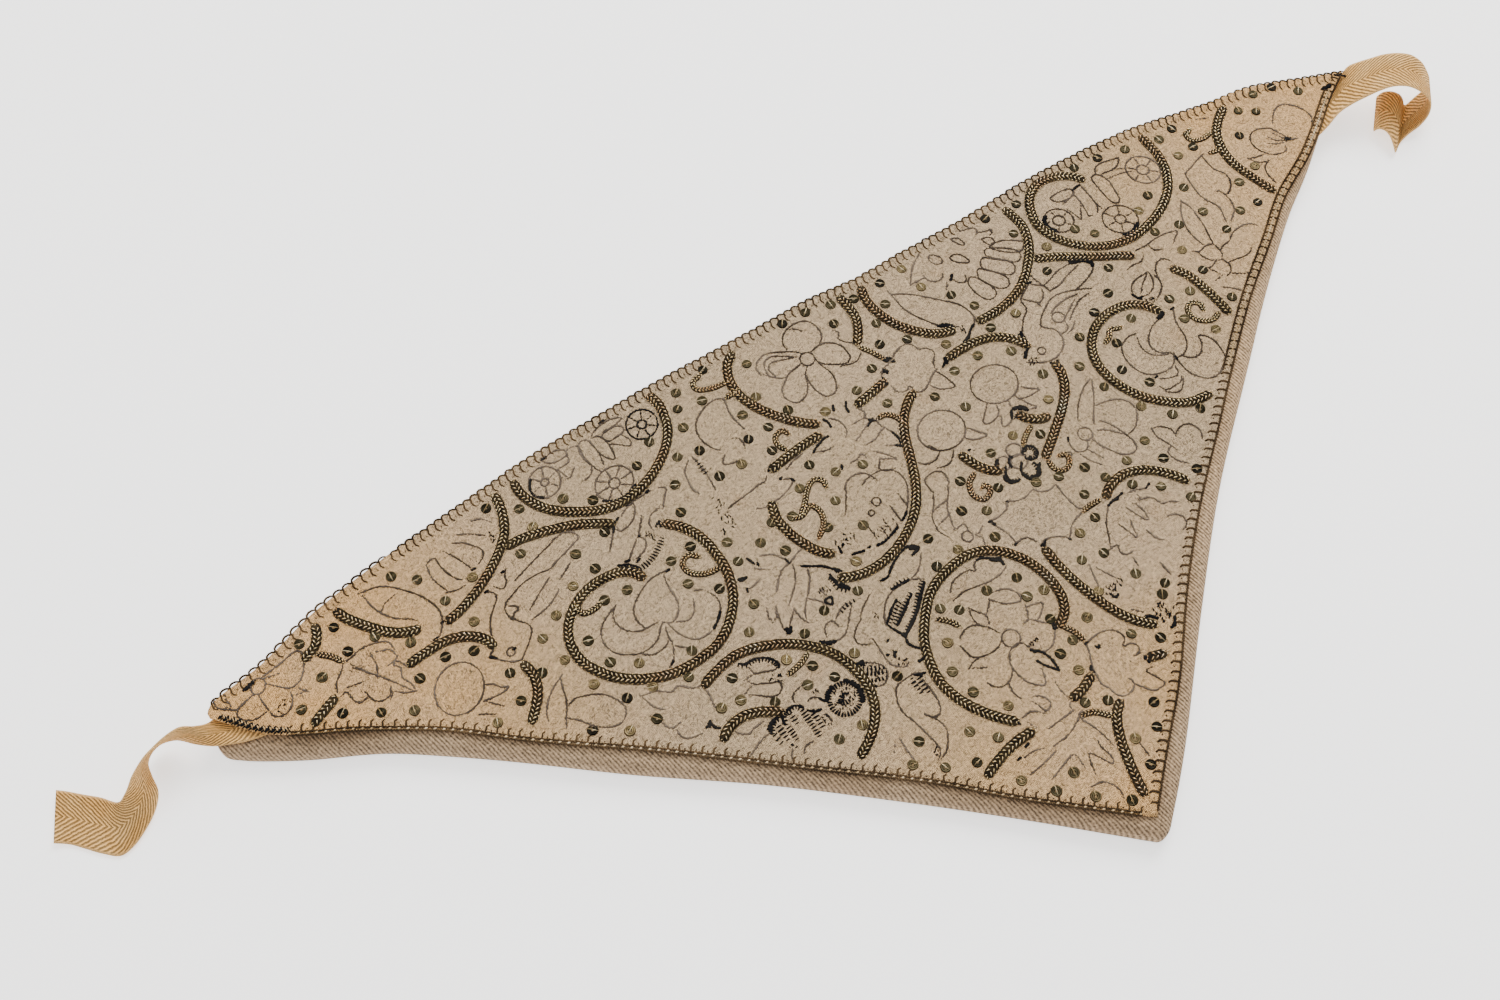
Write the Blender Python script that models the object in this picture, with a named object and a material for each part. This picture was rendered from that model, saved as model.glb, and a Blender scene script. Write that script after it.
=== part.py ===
"""An embroidered forehead cloth, laid out on its fabric-covered padded board.

The three-cornered linen lies flat with its long edge bowed outwards. Coiling
stems in raised plaited braid run over it, a worked edging closes its three
sides, and a woven tape tie is sewn beneath each of its two far tips.

The frame: +X from the left tip to the right tip, +Y from the corner at the
front towards the long edge, +Z up. The origin is on the underside of the
board. Everything on the linen is placed by chart coordinates (u, v) in
millimetres: u along the straight line between the tips, v across it, before
the linen is bowed in its own plane.
"""

import bmesh
import bpy
from mathutils import Vector

MM = 0.001

# The linen's bow: how far the middle of the long edge stands out past the tips.
HALF_SPAN = 215.0
BOW = 21.5
ORIGIN_FROM_TIP_LINE = 50.0

# Thicknesses, widths and clearances in millimetres.
BOARD_THICKNESS = 8.0
BOARD_TOP_ROUND = 3.0
BOARD_FOOT_ROUND = 1.2
LINEN_THICKNESS = 1.0
GAP = 0.3
STEM_WIDTH = 3.0
STEM_CROWN = 1.4
STEM_HEIGHT = 0.9
EDGING_WIDTH = 1.2
EDGING_HEIGHT = 0.8
TAPE_THICKNESS = 1.0
LOWEST_TAPE_MIDDLE = 0.6

# The linen is lifted at its tips by the tape ends that are sewn beneath it.
TIP_LIFT = 1.6
LIFT_STARTS = 168.0
LIFT_ENDS = 186.0

# How finely each curve is divided, in millimetres or in parts of a row.
LINEN_STEP = 8.0
LINEN_STRIPS = 4
BOARD_STEPS = 4
STEM_STEP = 4.5
EDGING_STEP = 7.0
TAPE_STEPS = 2
TAPE_STRIPS = 3

# Columns: u, v. The linen's long edge, left to right.
LONG_EDGE = [
    (-215, 0.6), (-205, 2.0), (-195, 2.5), (-185, 4.5), (-175, 5.5), (-155, 5.8),
    (-120, 5.2), (-95, 5.2), (-70, 4.2), (-45, 3.2), (-20, 2.0), (10, 1.5),
    (25, 0.2), (45, 1.0), (70, 2.0), (90, 4.5), (110, 6.3), (135, 7.5),
    (165, 6.0), (178, 6.2), (190, 4.3), (202, 1.8), (213, 0.0),
]

# Columns: u, v. The left short edge, from the left tip to the front corner.
LEFT_EDGE = [
    (-215, -0.6), (-211, -6.0), (-206, -12.8), (-201, -18.0), (-194, -23.6),
    (-178, -34.8), (-160, -49.0), (-140, -68.5), (-110, -95.0), (-80, -122.5),
    (-50, -149.0), (-30, -168.7), (-2.0, -193.2),
]

# Columns: u, v. The right short edge, from the front corner to the right tip.
RIGHT_EDGE = [
    (-2.0, -193.2), (10, -181.8), (30, -163.2), (50, -141.0), (70, -121.0),
    (90, -103.0), (110, -84.5), (130, -66.4), (150, -50.2), (165, -37.4),
    (180, -27.8), (190, -20.0), (202, -9.4), (213, -0.8),
]

# Columns: u, v. The board's outline, from the left tip round the front corner
# to the right tip and back behind the long edge.
BOARD_OUTLINE = [
    (-213.5, -0.8), (-216.8, -4.5), (-217.0, -9.5), (-213.3, -14.0), (-198.4, -26.3),
    (-177.8, -40.8), (-163.3, -53.3), (-149.2, -66.1), (-119.3, -94.2), (-88.8, -120.2), (-58.9, -147.4),
    (-29.1, -174.9), (-12.0, -191.0), (-5.7, -196.9), (-3.4, -198.6), (-0.6, -198.2),
    (4.2, -194.4), (19.6, -180.4), (50, -149.0), (79.7, -118.9), (110.4, -90.9),
    (120.5, -81.6), (130.8, -71.9), (150, -54.5), (165, -41.5), (180, -29.8), (195, -16.5),
    (205, -7.0), (206.5, -3.5), (203, -0.5), (190, 2.5), (175, 4.3),
    (150, 5.4), (120, 5.2), (90, 3.0), (60, 0.0), (25, -1.3), (-10, 0.4),
    (-50, 2.0), (-100, 3.7), (-155, 4.3), (-185, 3.0), (-205, 0.6),
]

# Columns: u, v. The middle line of each coiling stem.
STEMS = {
    "stem_left_bud": [(-176.5, 2.5), (-177, -0.5), (-179.5, -3.7), (-184.5, -5)],
    "stem_left_border": [(-191, -23.2), (-186.3, -22), (-181, -20.6)],
    "stem_left_shell": [
        (-169.2, 2.5), (-168, -1.1), (-165.8, -4.9), (-163, -9), (-160.3, -12.6), (-157.2, -15.7),
        (-153.8, -18), (-150.3, -19.5),
    ],
    "stem_left_pear": [
        (-159.3, -26.3), (-153.3, -26.6), (-146.8, -27.4), (-141.9, -29.3), (-138.2, -32), (-135.8, -35),
        (-134.6, -38.8),
    ],
    "stem_left_fan": [
        (-143.3, -22.8), (-138.2, -22.6), (-133.4, -21.5), (-128, -19.6), (-122.7, -17), (-118.2, -14.1),
        (-114.7, -10.9), (-112.4, -6.8), (-110.9, -2), (-110.6, 2.5),
    ],
    "stem_left_branch": [
        (-111.6, -15.6), (-106.4, -17), (-100.9, -19), (-96.2, -21), (-91.8, -23.5), (-88.2, -26),
        (-84.4, -28.6),
    ],
    "stem_left_bird": [(-130.5, -47.5), (-129.5, -53), (-131, -58), (-135, -62.5), (-137.7, -64.6)],
    "stem_wheels_left": [
        (-103.5, 2.7), (-103.6, -2), (-101.9, -7.6), (-99.1, -12), (-95.5, -15.7), (-91.4, -18.8),
        (-87.2, -21.4), (-82.7, -23.3), (-77.3, -24.1), (-71.8, -23.6), (-66.2, -21.8), (-60.8, -18.9),
        (-56.3, -15), (-53.6, -10.9), (-52, -5.4), (-51.9, -1), (-53.2, 2),
    ],
    "stem_pansy_left": [
        (-86, -49), (-87.8, -45.4), (-90.7, -42.8), (-95.5, -41.3), (-100, -40.9), (-104.6, -41.6),
        (-109.2, -43.7), (-112.8, -46.6), (-115, -50.3), (-115.8, -54.7), (-115.2, -59.4), (-113, -64),
        (-109.9, -68.4), (-106.2, -72), (-101.6, -75.2), (-96.3, -77.8), (-90.9, -79.2), (-85.5, -79.6),
        (-80, -79.2), (-75, -77.3), (-70.8, -74.1), (-67.3, -70), (-65.1, -65.5), (-64, -61), (-63.8, -55.6),
        (-64.3, -50.2), (-65.7, -45.6), (-68.3, -41.2), (-72, -37.2),
    ],
    "stem_middle_edge": [
        (-22, -0.5), (-26, -3.5), (-28.5, -9), (-28.5, -15), (-26, -22), (-21.5, -29), (-17, -34), (-13, -37.2),
    ],
    "stem_middle_bar": [(-35, -42), (-28.2, -41), (-22, -40.4), (-14.5, -40.3)],
    "stem_berry_inner": [(-40.3, -50.5), (-42, -56), (-41.5, -62), (-39.5, -68), (-36.8, -73), (-33.5, -76)],
    "stem_berry": [
        (-37.4, -82.8), (-32.7, -85.2), (-27.3, -86.3), (-21.8, -86.1), (-16.4, -84.7), (-11, -82.2),
        (-5.3, -78), (-0.5, -71.9), (3.4, -64), (6.7, -55.7), (10.1, -50), (14.8, -45.6), (18.5, -43.5),
    ],
    "stem_cloud_left": [(0, -38), (6, -37), (13, -35.7)],
    "stem_middle_right": [(17.8, -1.5), (18.3, -6), (18, -11.5), (15.5, -16.5), (12.8, -19.8)],
    "stem_shell_right": [(26, -2), (24.6, -7), (25, -13), (27.5, -20), (32, -26), (37, -30), (42.5, -31.7)],
    "stem_fan_right": [
        (50, -32.7), (57, -32.5), (64, -31), (71, -27.5), (77, -22), (81.5, -16), (84, -9), (83.7, -4), (83, 0),
    ],
    "stem_branch_right": [(82.3, -22.7), (87, -24.8), (92.5, -27.8), (98.5, -31.2), (104, -33.7), (108, -36)],
    "stem_wheels_right": [
        (112.5, -3), (109.3, 0.8), (103.8, 3.1), (98, 3), (93, -0.2), (89.7, -5.4), (88.4, -11), (89.9, -17.1),
        (93.7, -22.6), (99.4, -27), (105.8, -29.2), (112.5, -29.4), (119.3, -27.6), (127, -23.8),
        (133.6, -18.1), (137.6, -11.6), (139.4, -4.4), (139.2, 1.2), (139.2, 4.6),
    ],
    "stem_bird_right": [(34, -39), (41, -38.5), (48, -39), (53.5, -41.3), (57, -45), (58.7, -48.5)],
    "stem_fruit": [(62, -57), (61.5, -62), (59, -67), (54.5, -72), (49.5, -76.2), (44, -80.5), (39, -84.2)],
    "stem_fruit_inner": [(41, -66.5), (43, -70), (47.2, -72.5), (49.5, -72.2)],
    "stem_posy": [(17.7, -69), (19.3, -74), (22, -78.5), (25.5, -81)],
    "stem_pansy_right": [
        (102, -58), (99.5, -54), (95, -51), (89, -50.3), (82, -52.3), (77, -56.3), (73.7, -62), (73, -68),
        (74.5, -75), (78, -81.5), (83, -86.3), (89, -90), (97, -90.5),
    ],
    "stem_right_long": [(115, -45), (118, -50), (119.5, -57), (120.2, -63), (120.3, -68.5)],
    "stem_right_bud": [
        (170.5, 3), (166, -0.5), (161.5, -5.5), (159, -12), (158.5, -18), (160, -25), (162, -31.5),
        (163, -34.3),
    ],
    "stem_lobed_leaf": [
        (-89.8, -87), (-84.2, -85.6), (-77, -84.9), (-71.6, -86.1), (-66.3, -88.4), (-60.8, -91.7),
        (-56.2, -95.8), (-52.4, -100.6), (-49.9, -106.4), (-48.9, -112), (-49.2, -117.2), (-51, -122),
        (-54.6, -126.4), (-58.7, -129.3), (-63.2, -131.4),
    ],
    "stem_larva": [(-93.8, -103.8), (-90, -101.7), (-85.4, -101.3), (-80.8, -102.7), (-77.2, -105), (-74.1, -107.3)],
    "stem_rose": [
        (-18.5, -149.2), (-22.7, -144.4), (-25.9, -139.9), (-28.3, -135.3), (-29.8, -130.8), (-30.4, -126.3),
        (-29.9, -121.8), (-28.7, -117.6), (-27.1, -113.8), (-24.7, -110.3), (-21.6, -106.8), (-18, -103.4),
        (-13.6, -100.8), (-8.2, -99.2), (-2.7, -98.5), (2.7, -99.1), (7.3, -101.5), (10.9, -105),
        (13.6, -109.2), (15.5, -114.6), (16.2, -120), (15.4, -125.4), (13.1, -129.3), (9, -132),
    ],
    "stem_oak_leaf": [
        (20.8, -108.6), (20.8, -114.3), (21.4, -119.3), (22.4, -124.6), (23.8, -130), (25.7, -135.4),
        (28, -140), (31, -143.9), (34.1, -146.7),
    ],
    "stem_thistle": [
        (46.4, -105), (50, -102.4), (55.9, -101), (61.8, -102.5), (66.3, -105.8), (69.4, -109.4), (71.6, -113),
    ],
    "stem_front_left": [(-36, -157), (-31, -155.3), (-24, -153.7), (-16, -153.5)],
    "stem_front_cloud": [(-1.5, -152), (3, -151.4), (8.5, -149)],
    "stem_front_stub": [(25, -153.5), (28.5, -154.5), (31, -155.2)],
    "stem_front_corner": [
        (10.8, -159.8), (7, -162.8), (4.2, -167.4), (2.2, -172.7), (0.6, -178.2), (-0.4, -182.6), (-1, -186.6),
    ],
}

# Columns: x, y, z of the near selvage, then x, y, z of the far selvage, in
# millimetres from the tip line and the floor. A row for each section.
TAPE_LEFT = [
    (-190, -16.0, 8.8, -202.0, 1.5, 8.8),
    (-200, -14.0, 8.8, -209.5, 1.0, 8.8),
    (-209.5, -11.8, 8.9, -215.5, -0.8, 8.9),
    (-213.5, -10.2, 8.9, -217.5, -1.3, 10.6),
    (-217.6, -8.0, 8.4, -219.4, -1.8, 14.0),
    (-222.3, -3.4, 6.0, -223.0, -1.2, 17.2),
    (-226.5, 1.5, 4.2, -228.0, -2.0, 18.2),
    (-231.0, 3.2, 3.5, -232.0, -3.0, 17.8),
    (-234.5, 2.3, 3.0, -235.3, -4.0, 17.3),
    (-236.8, 0.2, 2.3, -238.0, -5.2, 16.6),
    (-237.5, -3.3, 1.7, -240.7, -6.6, 15.5),
    (-238.0, -8.5, 1.2, -243.5, -8.0, 13.0),
    (-241.0, -13.0, 1.0, -246.0, -8.0, 9.5),
    (-246.0, -17.0, 1.0, -248.0, -7.0, 5.5),
    (-251.0, -19.5, 1.0, -249.6, -5.2, 2.4),
    (-255.0, -19.8, 0.8, -250.8, -3.4, 0.9),
    (-259.3, -16.2, 0.7, -252.8, -0.9, 0.7),
    (-262.7, -12.4, 0.7, -256.3, 2.3, 0.7),
    (-266.0, -8.8, 0.9, -260.2, 5.9, 1.0),
    (-269.5, -6.4, 1.6, -262.6, 7.6, 2.0),
]
TAPE_RIGHT = [
    (184.0, -15.5, 8.8, 199.0, -1.0, 8.8),
    (190.0, -15.5, 8.8, 206.0, 0.0, 8.8),
    (195.5, -14.2, 8.9, 213.5, 0.3, 8.9),
    (201.5, -12.6, 10.4, 217.0, 0.8, 10.4),
    (206.0, -13.0, 12.3, 220.0, -0.5, 12.0),
    (210.5, -14.0, 14.0, 223.0, -2.0, 13.3),
    (215.0, -15.3, 15.8, 227.0, -3.8, 14.6),
    (219.2, -17.0, 17.0, 231.2, -6.2, 15.0),
    (223.0, -19.7, 17.2, 234.8, -9.0, 14.5),
    (226.3, -22.8, 15.6, 237.5, -12.2, 12.4),
    (228.7, -25.5, 13.0, 239.0, -14.5, 9.5),
    (229.5, -27.2, 10.3, 240.0, -16.0, 6.8),
    (228.5, -28.5, 7.5, 239.8, -17.0, 4.2),
    (225.5, -29.2, 4.8, 238.0, -17.5, 2.2),
    (221.0, -29.0, 2.2, 234.5, -17.8, 1.2),
    (217.2, -29.8, 1.0, 230.5, -18.4, 0.9),
    (213.6, -31.8, 1.0, 228.6, -18.4, 2.0),
    (212.6, -31.0, 3.4, 227.9, -17.4, 4.4),
    (213.2, -27.8, 5.0, 226.8, -15.8, 6.2),
    (213.2, -25.0, 5.5, 225.0, -13.5, 6.4),
    (212.4, -22.8, 4.8, 223.4, -11.8, 5.0),
    (211.6, -21.8, 3.0, 222.4, -11.2, 2.7),
]


def smooth(rows, steps, closed=False):
    """Return points on a Catmull-Rom curve through the rows, `steps` to a row."""
    count = len(rows)
    points = [Vector(row) for row in rows]
    if closed:
        spans = range(count)
    else:
        spans = range(count - 1)
    curve = []
    for span in spans:
        if closed:
            before, start, end, after = (points[(span + k) % count] for k in (-1, 0, 1, 2))
        else:
            before, start = points[max(span - 1, 0)], points[span]
            end, after = points[span + 1], points[min(span + 2, count - 1)]
        for step in range(steps):
            t = step / steps
            curve.append(0.5 * (
                2 * start + (end - before) * t
                + (2 * before - 5 * start + 4 * end - after) * t ** 2
                + (3 * start - before - 3 * end + after) * t ** 3))
    if not closed:
        curve.append(points[-1])
    return curve


def even(points, step):
    """Return the same line with its points about `step` millimetres apart."""
    lengths = [0.0]
    for first, second in zip(points, points[1:]):
        lengths.append(lengths[-1] + (second - first).length)
    pieces = max(2, round(lengths[-1] / step))
    line = []
    span = 0
    for piece in range(pieces + 1):
        place = lengths[-1] * piece / pieces
        while span < len(points) - 2 and lengths[span + 1] < place:
            span += 1
        share = (place - lengths[span]) / (lengths[span + 1] - lengths[span])
        line.append(points[span].lerp(points[span + 1], share))
    return line


def height_at(table, u):
    """Return v at this u on a smoothed edge table."""
    for first, second in zip(table, table[1:]):
        if first[0] <= u <= second[0]:
            return first[1] + (second[1] - first[1]) * (u - first[0]) / (second[0] - first[0])
    return table[0][1] if u < table[0][0] else table[-1][1]


def lift_at(u):
    """Return how far the linen is lifted at this u by the tape beneath its tip."""
    share = min(max((abs(u) - LIFT_STARTS) / (LIFT_ENDS - LIFT_STARTS), 0.0), 1.0)
    return TIP_LIFT * share * share * (3 - 2 * share)


def world(u, v, z):
    """Bow a chart point in the plane of the linen and return it in metres."""
    bow = BOW * (1 - (u / HALF_SPAN) ** 2)
    return Vector((u, v + bow + ORIGIN_FROM_TIP_LINE, z)) * MM


def linen_underside(u):
    """Return the height of the linen's underside above the floor."""
    return BOARD_THICKNESS + GAP + lift_at(u)


def material(name, colour, roughness, metallic=0.0):
    """Return a Principled material."""
    finish = bpy.data.materials.new(name)
    finish.use_nodes = True
    shader = finish.node_tree.nodes["Principled BSDF"]
    shader.inputs["Base Color"].default_value = (*colour, 1.0)
    shader.inputs["Roughness"].default_value = roughness
    shader.inputs["Metallic"].default_value = metallic
    finish.diffuse_color = (*colour, 1.0)
    return finish


def add_object(name, bm, finish):
    """Turn a closed bmesh into a named object with its faces pointing out."""
    bmesh.ops.recalc_face_normals(bm, faces=bm.faces)
    mesh = bpy.data.meshes.new(name)
    bm.to_mesh(mesh)
    bm.free()
    mesh.shade_smooth()
    mesh.set_sharp_from_angle(angle=0.6)
    mesh.materials.append(finish)
    piece = bpy.data.objects.new(name, mesh)
    bpy.context.scene.collection.objects.link(piece)
    return piece


def loft(rings):
    """Join a row of closed rings with faces and close both ends."""
    bm = bmesh.new()
    loops = [[bm.verts.new(point) for point in ring] for ring in rings]
    for first, second in zip(loops, loops[1:]):
        for k in range(len(first)):
            after = (k + 1) % len(first)
            bm.faces.new((first[k], first[after], second[after], second[k]))
    bm.faces.new(reversed(loops[0]))
    bm.faces.new(loops[-1])
    return bm


def strip(name, line, profile, finish):
    """Run a small profile of (across, up) points along a line on the linen."""
    rings = []
    for place, point in enumerate(line):
        ahead = line[min(place + 1, len(line) - 1)] - line[max(place - 1, 0)]
        side = Vector((-ahead.y, ahead.x)).normalized()
        base = linen_underside(point.x)
        rings.append([
            world(point.x + side.x * across, point.y + side.y * across, base + up)
            for across, up in profile
        ])
    return add_object(name, loft(rings), finish)


def make_board(finish):
    """The padded board: one thick rounded slab under the linen."""
    outline = smooth(BOARD_OUTLINE, BOARD_STEPS, closed=True)
    bm = bmesh.new()
    foot = bm.faces.new([bm.verts.new(world(point.x, point.y, 0.0)) for point in outline])
    raised = bmesh.ops.extrude_face_region(bm, geom=[foot])
    top = [item for item in raised["geom"] if isinstance(item, bmesh.types.BMVert)]
    bmesh.ops.translate(bm, verts=top, vec=(0, 0, BOARD_THICKNESS * MM))
    top_rim = [edge for edge in bm.edges if all(vert in top for vert in edge.verts)]
    foot_rim = [edge for edge in bm.edges if not any(vert in top for vert in edge.verts)]
    bmesh.ops.bevel(bm, geom=top_rim, offset=BOARD_TOP_ROUND * MM, segments=3, profile=0.5, affect="EDGES")
    bmesh.ops.bevel(bm, geom=foot_rim, offset=BOARD_FOOT_ROUND * MM, segments=1, profile=0.5, affect="EDGES")
    return add_object("support_board", bm, finish)


def linen_columns(left, right):
    """Return the u values where the linen is cut into columns."""
    columns = [left[0].x, left[-1].x, right[-1].x]
    for first, last in ((left[0].x, left[-1].x), (right[0].x, right[-1].x)):
        pieces = round((last - first) / LINEN_STEP)
        columns += [first + (last - first) * k / pieces for k in range(1, pieces)]
    for tip, inward in ((left[0].x, 1), (right[-1].x, -1)):
        columns += [tip + inward * 1.5, tip + inward * 4.0]
    return sorted(columns)


def make_linen(finish, long_edge, left, right):
    """The linen: columns of cloth from a short edge up to the long edge."""
    rings = []
    for u in linen_columns(left, right):
        low = height_at(left if u < left[-1].x else right, u)
        high = height_at(long_edge, u)
        base = linen_underside(u)
        rows = [low + (high - low) * k / LINEN_STRIPS for k in range(LINEN_STRIPS + 1)]
        under = [world(u, v, base) for v in rows]
        upper = [world(u, v, base + LINEN_THICKNESS) for v in reversed(rows)]
        rings.append(under + upper)
    return add_object("linen", loft(rings), finish)


def make_stems(finish):
    """The raised braid stems: low domed strips just above the linen."""
    floor = LINEN_THICKNESS + GAP
    profile = [
        (-STEM_WIDTH / 2, floor),
        (STEM_WIDTH / 2, floor),
        (STEM_CROWN / 2, floor + STEM_HEIGHT),
        (-STEM_CROWN / 2, floor + STEM_HEIGHT),
    ]
    for name, rows in STEMS.items():
        strip(name, even(smooth(rows, 6), STEM_STEP), profile, finish)


def make_edging(finish, long_edge, left, right):
    """The worked edging: a low strip along each side, clear of the two tapes."""
    inner = GAP
    outer = GAP + EDGING_WIDTH
    profile = [(-outer, 0.0), (-inner, 0.0), (-inner, EDGING_HEIGHT), (-outer, EDGING_HEIGHT)]
    back = [point for point in reversed(long_edge) if -210 < point.x < 207]
    left_side = [point for point in left if -198 < point.x < -6]
    right_side = [point for point in right if 2 < point.x < 186]
    for name, line in (("long", back), ("left", left_side), ("right", right_side)):
        strip("edging_" + name, even(line, EDGING_STEP), profile, finish)


def make_tape(name, rows, finish):
    """A woven tape: a thin wall that follows its two selvages."""
    sections = smooth(rows, TAPE_STEPS)
    grid = []
    for section in sections:
        near = Vector(section[:3])
        far = Vector(section[3:])
        line = [near.lerp(far, k / TAPE_STRIPS) for k in range(TAPE_STRIPS + 1)]
        for point in line:
            point.z = max(point.z, LOWEST_TAPE_MIDDLE)
        grid.append(line)
    half = TAPE_THICKNESS / 2
    rings = []
    for place, line in enumerate(grid):
        ahead = grid[min(place + 1, len(grid) - 1)]
        behind = grid[max(place - 1, 0)]
        across = line[-1] - line[0]
        upper = []
        under = []
        for k, point in enumerate(line):
            normal = (ahead[k] - behind[k]).cross(across).normalized()
            upper.append((point + normal * half + Vector((0, ORIGIN_FROM_TIP_LINE, 0))) * MM)
            under.append((point - normal * half + Vector((0, ORIGIN_FROM_TIP_LINE, 0))) * MM)
        rings.append(upper + under[::-1])
    return add_object(name, loft(rings), finish)


def main():
    """Clear the scene and model every piece."""
    for item in list(bpy.data.objects):
        bpy.data.objects.remove(item, do_unlink=True)
    long_edge = smooth(LONG_EDGE, 4)
    left = smooth(LEFT_EDGE, 4)
    right = smooth(RIGHT_EDGE, 4)
    linen = material("linen", (0.62, 0.50, 0.38), 0.9)
    twill = material("twill", (0.58, 0.47, 0.36), 0.9)
    gilt = material("gilt_braid", (0.30, 0.24, 0.12), 0.45, 0.7)
    tape = material("woven_tape", (0.60, 0.44, 0.25), 0.85)
    silk = material("silk", (0.30, 0.19, 0.09), 0.7)
    make_board(twill)
    make_linen(linen, long_edge, left, right)
    make_edging(silk, long_edge, left, right)
    make_stems(gilt)
    make_tape("tape_left", TAPE_LEFT, tape)
    make_tape("tape_right", TAPE_RIGHT, tape)


main()
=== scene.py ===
# %% [markdown]
# An embroidered forehead cloth on its padded board
#
# The object is a three-cornered piece of linen, about 430 mm from tip to tip,
# worked all over in silk outlines, raised metal braid and small metal
# spangles. It lies on a board that is covered in twill, and a woven tape is
# sewn under each of its two far tips. The solids are already made: this
# lesson loads them as a fixed frame and dresses them, piece by piece.

# %% Load the frame
import math
import random

import bpy
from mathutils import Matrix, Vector


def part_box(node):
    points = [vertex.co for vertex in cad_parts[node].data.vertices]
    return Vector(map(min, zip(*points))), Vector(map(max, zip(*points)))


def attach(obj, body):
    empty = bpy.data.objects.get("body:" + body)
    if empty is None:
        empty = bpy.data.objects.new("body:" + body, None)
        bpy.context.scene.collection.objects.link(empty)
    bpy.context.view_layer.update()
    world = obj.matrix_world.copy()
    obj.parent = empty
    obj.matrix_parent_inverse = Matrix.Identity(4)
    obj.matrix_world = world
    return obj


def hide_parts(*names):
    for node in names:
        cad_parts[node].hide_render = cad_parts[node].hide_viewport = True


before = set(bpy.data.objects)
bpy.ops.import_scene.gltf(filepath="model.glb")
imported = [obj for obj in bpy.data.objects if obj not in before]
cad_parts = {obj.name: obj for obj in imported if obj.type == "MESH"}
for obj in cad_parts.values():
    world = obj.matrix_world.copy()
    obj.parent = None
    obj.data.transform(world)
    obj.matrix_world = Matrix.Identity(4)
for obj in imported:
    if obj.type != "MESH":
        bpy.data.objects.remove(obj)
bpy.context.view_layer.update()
print("Solids in the frame:", len(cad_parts))

# %% [markdown]
# The camera
#
# The camera is made first, because everything else is judged through it. It
# looks down at 65 degrees from the front and the left, so that the long edge
# of the cloth runs up the picture from the lower left to the upper right.

# %% Make the camera


def show(name, data):
    """Return a new object that stands in the scene."""
    made = bpy.data.objects.new(name, data)
    bpy.context.scene.collection.objects.link(made)
    return made


camera_data = bpy.data.cameras.new("camera")
camera_data.lens = 43.2
camera_data.sensor_width = 36.0
camera_data.clip_start = 0.01
camera = show("camera", camera_data)
camera.location = (-0.1716, -0.1721, 0.5093)
camera.rotation_euler = (math.radians(25.0), 0.0, math.radians(-32.74))
bpy.context.scene.camera = camera
print("The camera is", round(camera.location.length, 3), "m from the middle of the board's foot")

# %% [markdown]
# The chart
#
# An embroiderer works from a flat chart. Here every stitch has a place (u, v)
# in millimetres: u along the straight line between the two tips and v across
# it. The real linen is bowed in its own plane, so its long edge bulges. One
# function bows a chart point, and a second lays it on top of the linen, which
# rises over the tape that is sewn beneath each tip.
#
# The long charts are written in tenths of a millimetre, as one would direct a
# pen: the first point of a line as u,v and then a step for each further point,
# with a semicolon before the next line. Moving a line later then means changing
# the two numbers of its first point, which can be read off the photograph.

# %% From the chart to the world
MM = 0.001
HALF_SPAN = 215.0
BOW = 21.5
ORIGIN_FROM_TIP_LINE = 50.0
LINEN_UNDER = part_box("linen")[0][2] / MM
FACE_RISE = 0.8  # from the underside to the face, with its threads
LINEN_TOP = LINEN_UNDER + FACE_RISE
TIP_LIFT = 1.6
LIFT_STARTS = 168.0
LIFT_ENDS = 186.0


def lift_at(u):
    """Return how far the tape beneath a tip lifts the linen at this u."""
    share = min(max((abs(u) - LIFT_STARTS) / (LIFT_ENDS - LIFT_STARTS), 0.0), 1.0)
    return TIP_LIFT * share * share * (3 - 2 * share)


def ripple_at(u, v):
    """Return the slight waves of a cloth that isn't pulled tight."""
    slow = math.sin(u * 0.061 + v * 0.043 + 0.6) * math.sin(v * 0.052 - u * 0.021 + 1.9)
    quick = math.sin(u * 0.17 - v * 0.12 + 0.3) * math.sin(v * 0.15 + u * 0.07)
    return 0.10 * slow + 0.05 * quick


def bowed(u, v):
    """Return x and y in millimetres of a chart point."""
    return u, v + BOW * (1 - (u / HALF_SPAN) ** 2) + ORIGIN_FROM_TIP_LINE


def on_linen(u, v, above=0.0):
    """Return a point in metres that lies this far above the linen's face."""
    x, y = bowed(u, v)
    return Vector((x, y, LINEN_TOP + lift_at(u) + ripple_at(u, v) + above)) * MM


print("The linen's face is", round(LINEN_TOP, 2), "mm above the floor")

# %% Read a chart


def drawn(chart):
    """Return a chart's lines as lists of points in millimetres."""
    lines = []
    for line in chart.split(";"):
        points = []
        u = v = 0
        for step in line.split():
            across, down = step.split(",")
            u, v = u + int(across), v + int(down)
            points.append((u / 10, v / 10))
        lines.append(points)
    return lines


def dots(chart):
    """Return single places u,v, each given in full, as points in millimetres."""
    return [drawn(place)[0][0] for place in chart.split()]


print("Two steps from 10,0 lead to", drawn("10,0 5,5 0,5")[0][-1])

# %% Smooth and even lines


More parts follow.
